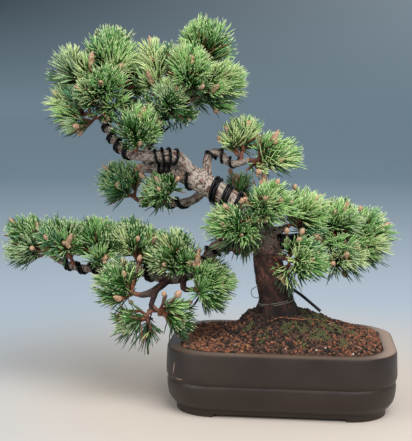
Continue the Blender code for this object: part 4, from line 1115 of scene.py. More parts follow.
def anodised_wire(settings):
    """Soft aluminium wire, drawn and anodised black: a dark satin coat with sharp lights."""
    made, tree, shader = new_material("anodised_aluminium_wire_drawn", 0.3, settings.metal, 0.85)
    place = add_node(tree, "TexCoord").outputs["Object"]
    scuff = add_node(tree, "TexNoise", {"Vector": place, "Scale": per_metre(3), "Detail": 3.0})
    rough = add_node(tree, "MapRange", {
        "Value": scuff.outputs["Fac"], "To Min": 0.22, "To Max": 0.42})
    feed(tree, shader, {"Roughness": rough.outputs["Result"]})
    return made


def waxy_needle(name, colour):
    """A live pine needle: waxy, with a soft broad light along it."""
    return new_material(name, 0.42, colour, ior=1.45)[0]


def dry_matter(name, colour, roughness=0.85):
    """Dry plant or clay matter in one plain colour, dealt out piece by piece."""
    return new_material(name, roughness, colour)[0]


def scaly(name, colour, dark, size):
    """Papery scales packed on a shoot or bud: pale, with darker seams between them."""
    made, tree, shader = new_material(name, 0.6)
    place = add_node(tree, "TexCoord").outputs["Object"]
    cells = add_node(tree, "TexVoronoi", {"Vector": place, "Scale": per_metre(size)},
                     feature="DISTANCE_TO_EDGE")
    tint = add_node(tree, "ValToRGB", {"Fac": cells.outputs["Distance"]},
                    stops=((0.02, dark), (0.22, colour)))
    bump = add_node(tree, "Bump", {
        "Height": cells.outputs["Distance"], "Strength": 0.6, "Distance": 0.4 * MM})
    feed(tree, shader, {"Base Color": tint.outputs["Color"], "Normal": bump.outputs["Normal"]})
    return made


# ---- pot and soil ----


def outline(inset):
    """The pot's rounded rectangle, moved in by inset, with points along its straight sides."""
    radius = POT_CORNER - inset
    straight = np.array((POT_WIDTH, POT_DEPTH)) / 2 - inset - radius
    loop = []
    for quarter, (corner, onward) in enumerate(zip(QUARTERS, QUARTER_STEPS)):
        centre = corner * straight
        for k in range(CORNER_STEPS + 1):
            angle = math.pi / 2 * (quarter + k / CORNER_STEPS)
            loop.append(centre + radius * np.array((math.cos(angle), math.sin(angle))))
        for _ in range(1, SIDE_STEPS):
            loop.append(loop[-1] + onward * straight / SIDE_STEPS)
    return np.array(loop)


def ring_at(inset, z):
    """The pot's outline at one height."""
    flat = outline(inset)
    return np.column_stack([flat, np.full(len(flat), z)])


def cut(target, cutters):
    """Cuts every cutter out of target in one Boolean, and removes them."""
    collection = bpy.data.collections.new("cutters")
    bpy.context.scene.collection.children.link(collection)
    for cutter in cutters:
        bpy.context.scene.collection.objects.unlink(cutter)
        collection.objects.link(cutter)
    modifier = target.modifiers.new("cut", "BOOLEAN")
    modifier.operation, modifier.solver = "DIFFERENCE", "EXACT"
    modifier.operand_type, modifier.collection = "COLLECTION", collection
    apply_modifiers(target)
    for cutter in cutters:
        bpy.data.objects.remove(cutter)
    bpy.data.collections.remove(collection)


def apply_modifiers(target):
    """Puts the result of an object's modifiers in its mesh."""
    bpy.context.view_layer.update()
    graph = bpy.context.evaluated_depsgraph_get()
    result = bpy.data.meshes.new_from_object(target.evaluated_get(graph))
    target.modifiers.clear()
    target.data = result


def block_cutter(centre, size, height):
    """A box with rounded upright edges, from under the pot up to height."""
    w, d = size[0] / 2 - CUTTER_ROUNDING, size[1] / 2 - CUTTER_ROUNDING
    flat = []
    for quarter, (sx, sy) in enumerate(QUARTERS):
        for k in range(CUTTER_STEPS + 1):
            angle = math.pi / 2 * (quarter + k / CUTTER_STEPS)
            flat.append((centre[0] + sx * w + CUTTER_ROUNDING * math.cos(angle),
                         centre[1] + sy * d + CUTTER_ROUNDING * math.sin(angle)))
    rings = [np.array([(x, y, z) for x, y in flat]) for z in (CUTTER_START, height)]
    return build_mesh("cutter", *skin(rings), [])


def pot_front(x, z):
    """The place on the pot's front at x and z."""
    insets, heights = np.array(POT_PROFILE).T
    inset = np.interp(z, heights, insets)
    radius = POT_CORNER - inset
    past = max(0.0, abs(x) - (POT_WIDTH / 2 - POT_CORNER))
    return x, POT_CORNER - POT_DEPTH / 2 - math.sqrt(radius ** 2 - past ** 2), z


class BONSAI_OT_pot(bpy.types.Operator):
    """Makes the stoneware pot, with its belt, lip, feet and drains"""

    bl_idname = "bonsai.pot"
    bl_label = "Pot"

    def execute(self, context):
        settings = context.scene.bonsai.pot
        outside = np.column_stack([POT_PROFILE, np.zeros(len(POT_PROFILE))])
        steps = round(smooth_line(outside, 3)[1] / PROFILE_STEP)
        line = smooth_line(outside, steps)[0][:, :2]
        rings = [ring_at(inset, z) for inset, z in line]
        rings[0][:, 2] = 0.0
        lip_end = np.array(POT_INSIDE[0])
        for share in LIP_SHARES:
            inset, z = line[-1] + (lip_end - line[-1]) * share
            rings.append(ring_at(inset, z + LIP_CROWN * math.sin(math.pi * share)))
        rings += [ring_at(inset, z) for inset, z in POT_INSIDE]
        pot = build_mesh("pot_body", *skin(rings), [stoneware(settings)])
        self.cut_feet(pot)
        self.cut_drains(pot)
        pot.data.shade_smooth()
        pot.data.set_sharp_from_angle(angle=math.radians(POT_CREASE))
        place_piece(pot, POT_SLOT, "pot")
        self.make_marks(settings)
        return {"FINISHED"}

    def cut_feet(self, pot):
        """Leaves four corner feet, by a hollow underside and an opening in each side."""
        cutters = []
        for side in (-1, 1):
            cutters.append(block_cutter((side * POCKET_X, 0), POCKET_SIZE, POCKET_DEPTH))
            cutters.append(block_cutter((0, side * POT_DEPTH / 2),
                                        (ARCH_WIDTHS[0], 2 * ARCH_DEPTH), ARCH_HEIGHT))
            cutters.append(block_cutter((side * POT_WIDTH / 2, 0),
                                        (2 * ARCH_DEPTH, ARCH_WIDTHS[1]), ARCH_HEIGHT))
        cut(pot, cutters)

    def cut_drains(self, pot):
        """Cuts a round drain through the floor in each half."""
        rods = []
        for side in (-1, 1):
            rod = tube([(side * POCKET_X, 0, z) for z in DRAIN_CUT],
                       [DRAIN_RADIUS] * len(DRAIN_CUT), DRAIN_SIDES)
            rods.append(build_mesh("drain", *rod, []))
        cut(pot, rods)

    def make_marks(self, settings):
        """The rubbed marks on the front, as flat slivers half sunk in the clay."""
        width_along = np.sin(np.linspace(*MARK_ENDS, MARK_STEPS))
        marks = []
        for (x, z), (end_x, end_z), width in POT_MARKS:
            line = [pot_front(x + (end_x - x) * t, z + (end_z - z) * t)
                    for t in np.linspace(0, 1, MARK_STEPS)]
            line = np.array(line) + (0.0, MARK_DEPTH, 0.0)
            marks.append(tube(line, width / 2 * width_along, MARK_SIDES))
        chalk = build_mesh("pot_marks", *joined(marks), [
            scaly("rubbed_clay_marks", settings.mark, settings.lip, 1.5)])
        place_piece(chalk, POT_SLOT)


def soil_height(x, y):
    """Height of the soil bed: the mound with small waves on it."""
    wave = noise.fractal(Vector((x, y, 0.0)) / WAVE_WIDTH, *WAVE_NOISE)
    return mound(x, y) + WAVE_HEIGHT * wave - WAVE_DROP


class BONSAI_OT_soil(bpy.types.Operator):
    """Makes the bed of damp clay dust that the granules lie in"""

    bl_idname = "bonsai.soil"
    bl_label = "Soil bed"

    def execute(self, context):
        settings = context.scene.bonsai.soil
        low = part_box("soil")[0].z / MM
        inside = LIP_WIDTH + SOIL_SHOULDER[0]
        rings = [ring_at(WALL + inset, low + rise) for inset, rise in SOIL_BOTTOM]
        rings.append(ring_at(WALL + SOIL_SIDE[0], SOIL_SIDE[1]))
        rings.append(ring_at(inside, SOIL_SHOULDER[1]))
        edge = outline(inside)
        foot = np.array(TRUNK[0][:2], float)
        inner = foot + unit(edge - foot) * SOIL_HEART
        for share in np.linspace(0.0, 1.0, SOIL_RINGS):
            flat = edge + (inner - edge) * share
            rings.append(np.array([(x, y, soil_height(x, y)) for x, y in flat]))
        bed = build_mesh("soil_bed", *skin(rings), [soil_bed(settings)])
        place_piece(bed, SOIL_SLOT, "soil")
        return {"FINISHED"}


def lump_template():
    """Corners and triangles of a ball of 20 faces."""
    work = bmesh.new()
    bmesh.ops.create_icosphere(work, subdivisions=1, radius=1.0)
    corners = np.array([v.co for v in work.verts])
    faces = np.array([[v.index for v in face.verts] for face in work.faces])
    work.free()
    return corners, faces


def lumps(places, radii, seed, rough=0.22, flat=1.0):
    """Corners and triangles of many angular lumps, each turned and dented by the seed."""
    corners, faces = lump_template()
    draw = np.random.default_rng(seed)
    count = len(places)
    shape = corners[None] * (1 + draw.normal(0, rough, (count, len(corners), 1)))
    shape = shape * draw.uniform(*LUMP_STRETCH, (count, 1, 3)) * (1, 1, flat)
    turn = draw.uniform(0, 2 * math.pi, count)
    c, s = np.cos(turn)[:, None], np.sin(turn)[:, None]
    x, y = shape[..., 0] * c - shape[..., 1] * s, shape[..., 0] * s + shape[..., 1] * c
    shape = np.stack([x, y, shape[..., 2]], -1) * np.asarray(radii)[:, None, None]
    points = (np.asarray(places)[:, None] + shape).reshape(-1, 3)
    start = np.arange(count)[:, None, None] * len(corners)
    return points, (start + faces).reshape(-1, 3), len(faces)


def in_pot(x, y, inset):
    """Whether a place is inside the pot's outline moved in by inset."""
    return inside_lip(x, y) > inset - LIP_WIDTH


def mossy(x, y):
    """How mossy a place is, from 0 to 1: in patches in front of and right of the trunk."""
    near = max(math.exp(-((x - a) ** 2 + (y - b) ** 2) / r ** 2) for a, b, r in MOSS_PATCHES)
    grain = noise.noise(Vector((x, y, 3.0)) / MOSS_GRAIN)
    return near * (MOSS_BASE + MOSS_VARIETY * grain)


def damp(x, y):
    """How damp and dark the soil is: least at the left and along the right end."""
    across = (x - DAMP_MIDDLE[0]) / DAMP_REACH[0]
    back = (y - DAMP_MIDDLE[1]) / DAMP_REACH[1]
    near = DAMP_MOST * math.exp(-(across ** 2 + back ** 2))
    patch = noise.noise(Vector((x, y, 9.0)) / DAMP_PATCHES)
    return min(1.0, max(0.0, near + DAMP_VARIETY * patch))


class BONSAI_OT_granules(bpy.types.Operator):
    """Scatters fired clay granules over the soil"""

    bl_idname = "bonsai.granules"
    bl_label = "Granules"

    def execute(self, context):
        settings = context.scene.bonsai.soil
        rule = random.Random("granules")
        foot = TRUNK[0]
        places, radii, kinds = [], [], []
        for i in range(-GRAIN_COLUMNS, GRAIN_COLUMNS + 1):
            for j in range(-GRAIN_ROWS, GRAIN_ROWS + 1):
                x = (i + rule.uniform(-0.5, 0.5)) * GRAIN_STEP
                y = (j + rule.uniform(-0.5, 0.5)) * GRAIN_STEP
                size = settings.grain / MM * rule.uniform(*GRAIN_SIZES)
                off_trunk = math.hypot(x - foot[0], y - foot[1]) - foot[3]
                if not in_pot(x, y, LIP_WIDTH + GRAIN_MARGIN) or off_trunk < -TRUNK_OVERLAP:
                    continue
                wet = math.exp(-(off_trunk / FOOT_DAMP) ** 2) + AIR_DAMP * damp(x, y)
                shares = [max(0.0, dry + more * wet) for dry, more in FLECK_SHARES]
                kind = rule.choices(range(len(FLECKS)), shares)[0]
                size *= FLECK_SIZE if FLECKS[kind] == "pumice" else 1.0
                places.append((x, y, soil_height(x, y) + size * GRAIN_RISE))
                radii.append(size)
                kinds.append(kind)
        points, faces, each = lumps(places, radii, seed=7)
        materials = [dry_matter(f"akadama_grain_{name}", getattr(settings, name), 0.92)
                     for name in FLECKS]
        grains = build_mesh("granules", points, [(faces, np.repeat(kinds, each))], materials,
                            smooth=False)
        place_piece(grains, SOIL_SLOT)
        return {"FINISHED"}


class BONSAI_OT_ground_cover(bpy.types.Operator):
    """Makes the moss, the clods and the surface roots on the soil"""

    bl_idname = "bonsai.ground_cover"
    bl_label = "Moss and roots"

    def execute(self, context):
        settings = context.scene.bonsai.soil
        self.make_moss(settings)
        seats = [(x, y, soil_height(x, y) + CLOD_RISE * size) for x, y, size in CLODS]
        sizes = [size for _, _, size in CLODS]
        points, faces, _ = lumps(seats, sizes, seed=11, rough=CLOD_ROUGH, flat=CLOD_FLAT)
        clods = build_mesh("clods", points, [(faces, 0)], [soil_bed(settings)])
        subdivide = clods.modifiers.new("round", "SUBSURF")
        subdivide.levels = subdivide.render_levels = 2
        apply_modifiers(clods)
        clods.data.shade_smooth()
        place_piece(clods, SOIL_SLOT)
        parts = []
        for route, radius in ROOTS:
            flat = smooth_line([(x, y, 0.0) for x, y in route], ROOT_STEPS)[0]
            line = [(x, y, soil_height(x, y) + ROOT_RISE + radius) for x, y, _ in flat]
            thick = radius * (1.0 - ROOT_TAPER * np.linspace(0, 1, ROOT_STEPS))
            parts.append(tube(line, thick, ROOT_SIDES))
        roots = build_mesh("surface_roots", *joined(parts),
                           [scaly("pine_root_dry", settings.root, settings.brown, 3.0)])
        place_piece(roots, SOIL_SLOT)
        return {"FINISHED"}

    def make_moss(self, settings):
        """Moss as short pointed tufts, dense in the middle of each patch."""
        rule = random.Random("moss")
        feet, aims, kinds = [], [], []
        while len(feet) < MOSS_TUFTS:
            x, y = [rule.uniform(*side) for side in MOSS_BOX]
            thin = mossy(x, y) * rule.uniform(*MOSS_CHANCE) < MOSS_LIMIT
            if thin or not in_pot(x, y, LIP_WIDTH + MOSS_MARGIN):
                continue
            feet.append((x, y, soil_height(x, y) + MOSS_RISE))
            aims.append((rule.gauss(0, MOSS_LEAN), rule.gauss(0, MOSS_LEAN), 1.0))
            kinds.append(int(rule.random() < MOSS_PALE))
        feet, aims, kinds = np.array(feet), unit(aims), np.array(kinds)
        sizes = np.array([rule.uniform(*MOSS_LENGTH) for _ in feet])[:, None, None]
        t = np.array(MOSS_STATIONS)[None, :, None]
        paths = feet[:, None] + aims[:, None] * t * sizes
        radii = np.broadcast_to(MOSS_RADII, (len(feet), len(MOSS_RADII)))
        corners, faces = spindles(paths, radii, MOSS_SIDES)
        groups = [(faces["foot"], kinds), (faces["wall"], np.repeat(kinds, MOSS_SIDES)),
                  (faces["tip"], 1)]
        moss = build_mesh("moss", corners, groups, [
            dry_matter("cushion_moss_olive", settings.moss),
            dry_matter("cushion_moss_tips", settings.moss_tip)])
        place_piece(moss, SOIL_SLOT)


# ---- bark and wire ----


def fine_limb(name, limb):
    """Rings of a limb at the bark mesh's fineness, flared where the trunk meets the ground."""
    sides = TRUNK_SIDES if name == "trunk" else BOUGH_SIDES
    fine = Limb(limb.stations, FINE_STEP)
    angle = 2 * np.pi * np.arange(sides) / sides
    rings = []
    for j in range(fine.count):
        p, r, n, b = fine.points[j], fine.radii[j], fine.normals[j], fine.binormals[j]
        swell = np.ones(sides)
        if name == "trunk":
            share = max(0.0, 1.0 - (p[2] - GROUND) / FLARE_HEIGHT)
            n = unit(n * (1, 1, 1 - share))
            b = unit(b * (1, 1, 1 - share))
            swell += np.array([flare(p[2], a) for a in angle])
        out = np.cos(angle)[:, None] * n + np.sin(angle)[:, None] * b
        rings.append(p + (r * swell)[:, None] * out)
    return fine, rings


def bark_scales(place, size):
    """(height from 0 in a crack to 1 on a plate, shade of the plate) at a place on the bark."""
    near, centres = noise.voronoi(Vector(place) / size)
    height = min(1.0, (near[1] - near[0]) / CRACK_WIDTH)
    shade = noise.cell(centres[0] * PLATE_SEED)
    return height * height * (3 - 2 * height), 0.5 + 0.5 * shade


class BONSAI_OT_bark(bpy.types.Operator):
    """Makes one bark skin over the trunk and all boughs, with scales and cracks in relief"""

    bl_idname = "bonsai.bark"
    bl_label = "Trunk and boughs"

    voxel: length_setting("Voxel", "Fineness of the skin", 1.15, 0.5, 5.0)

    def execute(self, context):
        settings = context.scene.bonsai.bark
        limbs = grown_tree()[0]
        parts, samples = [], []
        for name, limb in limbs.items():
            fine, rings = fine_limb(name, limb)
            parts.append(skin(rings))
            for j in range(fine.count):
                samples.append((name, j, fine))
        bark = build_mesh("bark", *joined(parts), [pine_bark(settings)])
        remesh = bark.modifiers.new("skin", "REMESH")
        remesh.mode, remesh.voxel_size, remesh.use_smooth_shade = "VOXEL", self.voxel, True
        even = bark.modifiers.new("even", "SMOOTH")
        even.factor, even.iterations = SKIN_EVENING
        apply_modifiers(bark)
        noise.seed_set(WARP_SEED)
        self.carve(bark.data, samples, settings)
        bark.data.shade_smooth()
        place_piece(bark, BARK_SLOT, *limbs)
        return {"FINISHED"}

    def carve(self, mesh, samples, settings):
        """Moves each corner in by the bark's relief and keeps what the material needs of it."""
        tree = kdtree.KDTree(len(samples))
        for k, (_, j, fine) in enumerate(samples):
            tree.insert(fine.points[j], k)
        tree.balance()
        moved = np.zeros((len(mesh.vertices), 3))
        notes = np.zeros((len(BARK_NOTES), len(mesh.vertices)))
        for v in mesh.vertices:
            point = np.array(v.co) / MM
            name, j, fine = samples[tree.find(point)[1]]
            out = point - fine.points[j]
            along = j * FINE_STEP
            place = np.array((np.dot(out, fine.normals[j]), np.dot(out, fine.binormals[j]),
                              along * PLATE_STRETCH + LIMB_OFFSET * len(name)))
            grown = min(1.0, fine.radii[j] / FULL_PLATES)
            size = settings.plate / MM * (PLATE_BY_SIZE[0] + PLATE_BY_SIZE[1] * grown)
            warp = Vector(place) / (size * PLATE_WARP)
            place = place + np.array(noise.noise_vector(warp)) * size * PLATE_WAVE
            plate = bark_scales(place, size)
            fine_plate = bark_scales(place + FINE_OFFSET, size * FINE_PLATES)
            depth = settings.relief / MM * (RELIEF_BY_SIZE[0] + RELIEF_BY_SIZE[1] * grown)
            lift = LIFTS[0] * plate[0] + LIFTS[1] * fine_plate[0] + LIFTS[2] * plate[1]
            moved[v.index] = point + np.array(v.normal) * depth * (lift - LIFT_MIDDLE)
            for k, (coarse, small) in enumerate((HEIGHT_MIX, SHADE_MIX)):
                notes[k, v.index] = coarse * plate[k] + small * fine_plate[k]
            notes[2, v.index] = self.age_and_shade(point[2], 0.0 if name == "trunk" else along)
        mesh.vertices.foreach_set("co", (moved * MM).astype(np.float32).ravel())
        for name, values in zip(BARK_NOTES, notes):
            note = mesh.attributes.new(name, "FLOAT", "POINT")
            note.data.foreach_set("value", values.astype(np.float32))
        mesh.update()

    def age_and_shade(self, height, along):
        """How old bark looks, and how much painted shade it takes, at a height and a length along a
        bough: 1 at the tree's foot.
        """
        low = 1.0 - min(1.0, max(0.0, (height - OLD_SHADED_BARK[0]) / (OLD_SHADED_BARK[1] - OLD_SHADED_BARK[0])))
        past = max(0.0, along - OLD_SHADED_INSIDE)
        return YOUNG_LIT_AGE + (low - YOUNG_LIT_AGE) * max(0.0, 1.0 - past / OLD_SHADED_ALONG)


class BONSAI_OT_wire(bpy.types.Operator):
    """Winds round black wire on the limbs, in one or more strands, and adds its loose ends"""

    bl_idname = "bonsai.wire"
    bl_label = "Wire"

    def execute(self, context):
        limbs = grown_tree()[0]
        settings = context.scene.bonsai.wire
        metal = anodised_wire(settings)
        for name, wire in WIRES.items():
            parts = [self.strand(limbs[wire[0]], wire, k) for k in range(STRANDS.get(name, 1))]
            self.make(name + "_round", parts, metal, name)
        parts = [self.strand(limbs[wire[0]], wire, 0) for wire in MORE_WIRES]
        for stations, radius in LOOSE_WIRES:
            line = smooth_line(stations, LOOSE_STEPS)[0]
            parts.append(tube(line, [radius] * len(line), FINE_WIRE_SIDES))
        self.make("more_wire", parts, metal)
        tie = self.strand(limbs[TIE[0]], TIE, 0)
        self.make("tie_wire", [tie], dry_matter("tie_wire_pale_coat", settings.tie, 0.5))
        return {"FINISHED"}

    def make(self, piece, parts, metal, *nodes):
        """One piece of wire from several tubes."""
        coil = build_mesh(piece, *joined(parts), [metal])
        coil.data.set_sharp_from_angle(angle=math.radians(WIRE_CREASE))
        place_piece(coil, WIRE_SLOT, *nodes)

    def strand(self, limb, wire, index):
        """A strand of a wire, beside the strands before it."""
        _, start, end, turns, radius = wire
        beside = index * STRAND_PITCH * radius / limb.length
        count = round((turns + 2 * WIRE_TAIL) * FINE_WIRE_STEPS)
        line = []
        for turn in np.linspace(-WIRE_TAIL, turns + WIRE_TAIL, count):
            share = start + beside + (end - start) * turn / turns
            past = max(0.0, -turn, turn - turns) / WIRE_TAIL
            clear = limb.at(share)[4] + radius + WIRE_LIFT + TAIL_LIFT * radius * past ** 2
            line.append(limb.round_at(share, 2 * math.pi * turn, clear))
        return tube(np.array(line), [radius] * count, FINE_WIRE_SIDES)


# ---- twigs, needles and buds ----


def region_of(name):
    """The region of the tree that a mass belongs to."""
    return next(region for region, starts in REGIONS.items() if name.startswith(starts))


class BONSAI_OT_twigs(bpy.types.Operator):
    """Grows the stems, twigs and scaly shoots that carry the needles"""

    bl_idname = "bonsai.twigs"
    bl_label = "Twigs"

    def execute(self, context):
        settings = context.scene.bonsai.needles
        _, stems, _, tufts = grown_tree()
        paths, radii, kinds = [], [], []
        rule = random.Random("twigs")
        stations = np.linspace(0, 1, TWIG_STATIONS)

        def grow(start, end, thick, thin, kind, bend=0.0):
            sag = np.array([rule.gauss(0, 1) for _ in range(3)]) * bend
            path = start + (end - start) * stations[:, None]
            paths.append(path + sag * np.sin(np.pi * stations)[:, None])
            bumps = np.array([1 + rule.uniform(*TWIG_BUMPS) for _ in stations])
            radii.append((thick + (thin - thick) * stations) * bumps)
            kinds.append(kind)

        for root, heart, _ in stems.values():
            thick, thin = STEM_RADIUS * STEM_TAPER[0], STEM_RADIUS * STEM_TAPER[1]
            grow(root, heart, thick, thin, 0, STEM_SAG)
        for tuft in tufts:
            thick = TWIG_TAPER[0] * tuft.sized(SHOOT_BY_SHARE)
            end = tuft.foot + tuft.away * TWIG_OVERLAP
            grow(tuft.start, end, thick, TWIG_TAPER[1], 0, TWIG_SAG)
            grow(tuft.foot, tuft.axis(1.0)[0], *SHOOT_TAPER, 1)
        corners, faces = spindles(np.array(paths), np.array(radii), TWIG_SIDES)
        kinds = np.array(kinds)
        walls = np.repeat(kinds, TWIG_SIDES * (TWIG_STATIONS - 2))
        tips = np.repeat(kinds, TWIG_SIDES)
        twigs = build_mesh("twigs", corners, [
            (faces["foot"], kinds), (faces["wall"], walls), (faces["tip"], tips)],
            [scaly("pine_twig_rough", settings.twig, settings.old, 2.4),
             scaly("pine_candle_scaly", settings.candle, settings.twig, 1.8)])
        place_piece(twigs, NEEDLE_SLOT)
        return {"FINISHED"}


class BONSAI_OT_needles(bpy.types.Operator):
    """Grows the needles in pairs round each shoot, green by tuft, with pale tips"""

    bl_idname = "bonsai.needles"
    bl_label = "Needles"

    def execute(self, context):
        settings = context.scene.bonsai.needles
        _, _, space, tufts = grown_tree()
        materials = [waxy_needle(f"pine_needle_{name}", getattr(settings, name))
                     for name in GREENS]
        materials.append(waxy_needle("pine_needle_tip_pale", settings.tip))
        materials.append(dry_matter("pine_needle_dry", settings.old, 0.7))
        materials.append(waxy_needle("pine_needle_shaded", settings.shade))
        made = {region: [] for region in REGIONS}
        for tuft in tufts:
            paths, along = needle_paths(tuft, settings, space)
            if len(paths):
                draw = np.random.default_rng(tuft.seed + 1)
                kinds = np.full(len(paths), tuft.green)
                other = draw.random(len(paths)) < OTHER_GREEN
                kinds[other] = draw.integers(len(GREENS), size=other.sum())
                chord = unit(paths[:, -1] - paths[:, 0])
                kinds[chord[:, 2] < SHADED_FALL] = SHADE_KIND
                kinds[(along < OLD_FOOT) & (draw.random(len(paths)) < OLD_CHANCE)] = OLD_KIND
                made[region_of(tuft.name)].append((paths, kinds))
        for region, rows in made.items():
            paths = np.concatenate([row[0] for row in rows])
            kinds = np.concatenate([row[1] for row in rows])
            self.make(region, paths, kinds, settings.width / MM / 2, materials)
        return {"FINISHED"}

    def make(self, region, paths, kinds, radius, materials):
        """One or more needle pieces of a region, each under the export's limit."""
        names = [name for name in MASSES if region_of(name) == region]
        pieces = max(1, math.ceil(len(paths) / MOST_NEEDLES))
        for k in range(pieces):
            own, kind = paths[k::pieces], kinds[k::pieces]
            radii = np.array(NEEDLE_PROFILE) * radius
            radii = np.broadcast_to(radii, (len(own), len(radii)))
            corners, faces = spindles(own, radii, NEEDLE_SIDES)
            order, plain = np.arange(len(own)), kind > TIP_KIND
            # of live needles, three in five have a pale tip, and every other has a deep green foot,
            # painted shade for the inside of the tuft
            tips = np.where(plain | (order % 5 > 2), kind, TIP_KIND)
            inner = np.where(plain | (order % 2 > 0), kind, 0)
            walls = np.repeat(np.stack([inner, kind], 1), NEEDLE_SIDES, axis=1).ravel()
            groups = [(faces["foot"], inner), (faces["wall"], walls),
                      (faces["tip"], np.repeat(tips, NEEDLE_SIDES))]
            piece = build_mesh(f"needles_{region}_{k + 1}", corners, groups, materials)
            place_piece(piece, NEEDLE_SLOT, *(names if k == 0 else ()))


class BONSAI_OT_buds(bpy.types.Operator):
    """Sets the winter buds in the middle of the tufts, and scaly candles that stand up from some"""

    bl_idname = "bonsai.buds"
    bl_label = "Buds"

    def execute(self, context):
        settings = context.scene.bonsai.needles
        tufts = grown_tree()[3]
        rule = random.Random("buds")
        paths, radii = [], []
        stations, profile = np.array(BUD_STATIONS), np.array(BUD_PROFILE)
        for tuft in tufts:
            tip, heading = tuft.axis(1.0)[0], tuft.heading(1.0)[0]
            across = unit(np.cross(heading, SHOOT_SIDE))
            up = np.cross(heading, across)
            counts = BUD_COUNTS if tuft.share > MAIN_SHARE else SIDE_BUD_COUNTS
            for k in range(rule.choice(counts)):
                lean = 0.0 if k == 0 else rule.uniform(*SIDE_BUD_LEAN)
                turn = math.radians(GOLDEN_ANGLE * k) + rule.uniform(-SIDE_BUD_TURN, SIDE_BUD_TURN)
                side = math.cos(turn) * across + math.sin(turn) * up
                aim = unit(heading + lean * side)
                size = rule.uniform(*BUD_LENGTH) * tuft.sized(BUD_BY_SHARE)
                size *= 1.0 if k == 0 else SIDE_BUD_SIZE
                base = tip + side * (SIDE_BUD_FOOT if k else 0.0)
                paths.append(base + aim * size * stations[:, None])
                radii.append(profile * size * BUD_WIDTH)
        corners, faces = spindles(np.array(paths), np.array(radii), BUD_SIDES)
        buds = build_mesh("buds", corners, [(faces[key], 0) for key in ("foot", "wall", "tip")],
                          [scaly("pine_bud_resinous", settings.bud, settings.candle, 1.6)])
        place_piece(buds, NEEDLE_SLOT)
        self.make_candles(tufts, settings)
        return {"FINISHED"}

    def make_candles(self, tufts, settings):
        """Young shoots, brown and scaly below and pale at the tip."""
        rule = random.Random("candles")
        t = np.linspace(0, 1, CANDLE_RINGS)
        shape = CANDLE_BELLY[0] + CANDLE_BELLY[1] * np.sin(np.pi * t)
        shape *= np.minimum(1.0, (1 - t) / CANDLE_POINT[0]) ** CANDLE_POINT[1]
        shape *= 1.0 - CANDLE_SCALE * (np.arange(CANDLE_RINGS) % 2)
        paths, radii = [], []
        for tuft in tufts:
            foot, heading = tuft.axis(CANDLE_FOOT)[0], tuft.heading(1.0)[0]
            length = rule.uniform(*CANDLE_LENGTH)
            upright = tuft.share > MAIN_SHARE and heading[2] > CANDLE_RISE
            if rule.random() < CANDLE_CHANCE and upright:
                bend = tuft.bend * CANDLE_BEND * t[:, None] ** 2
                paths.append(foot + length * (heading * t[:, None] + bend))
                radii.append(shape * rule.uniform(*CANDLE_RADIUS))
        corners, faces = spindles(np.array(paths), np.array(radii), CANDLE_SIDES)
        bands = CANDLE_RINGS - 2
        brown = round(CANDLE_BROWN * bands)
        bands = np.repeat([0] * brown + [1] * (bands - brown), CANDLE_SIDES)
        candles = build_mesh("candles", corners, [
            (faces["foot"], 0), (faces["wall"], np.tile(bands, len(paths))), (faces["tip"], 1)],
            [scaly("pine_shoot_scaly", settings.candle, settings.old, 2.2),
             scaly("pine_shoot_tip_resinous", settings.bud, settings.candle, 1.6)])
        place_piece(candles, NEEDLE_SLOT)


# ---- stage ----


def soft_box(name, place, size, power):
    """A square area light turned to the plant's middle, in metres."""
    light = bpy.data.lights.new(name, "AREA")
    light.size, light.energy = size, power
    made = bpy.data.objects.new(name, light)
    made.location = place
    aim = Vector(LIT_MIDDLE) - Vector(place)
    made.rotation_euler = aim.to_track_quat("-Z", "Y").to_euler()
    bpy.context.scene.collection.objects.link(made)


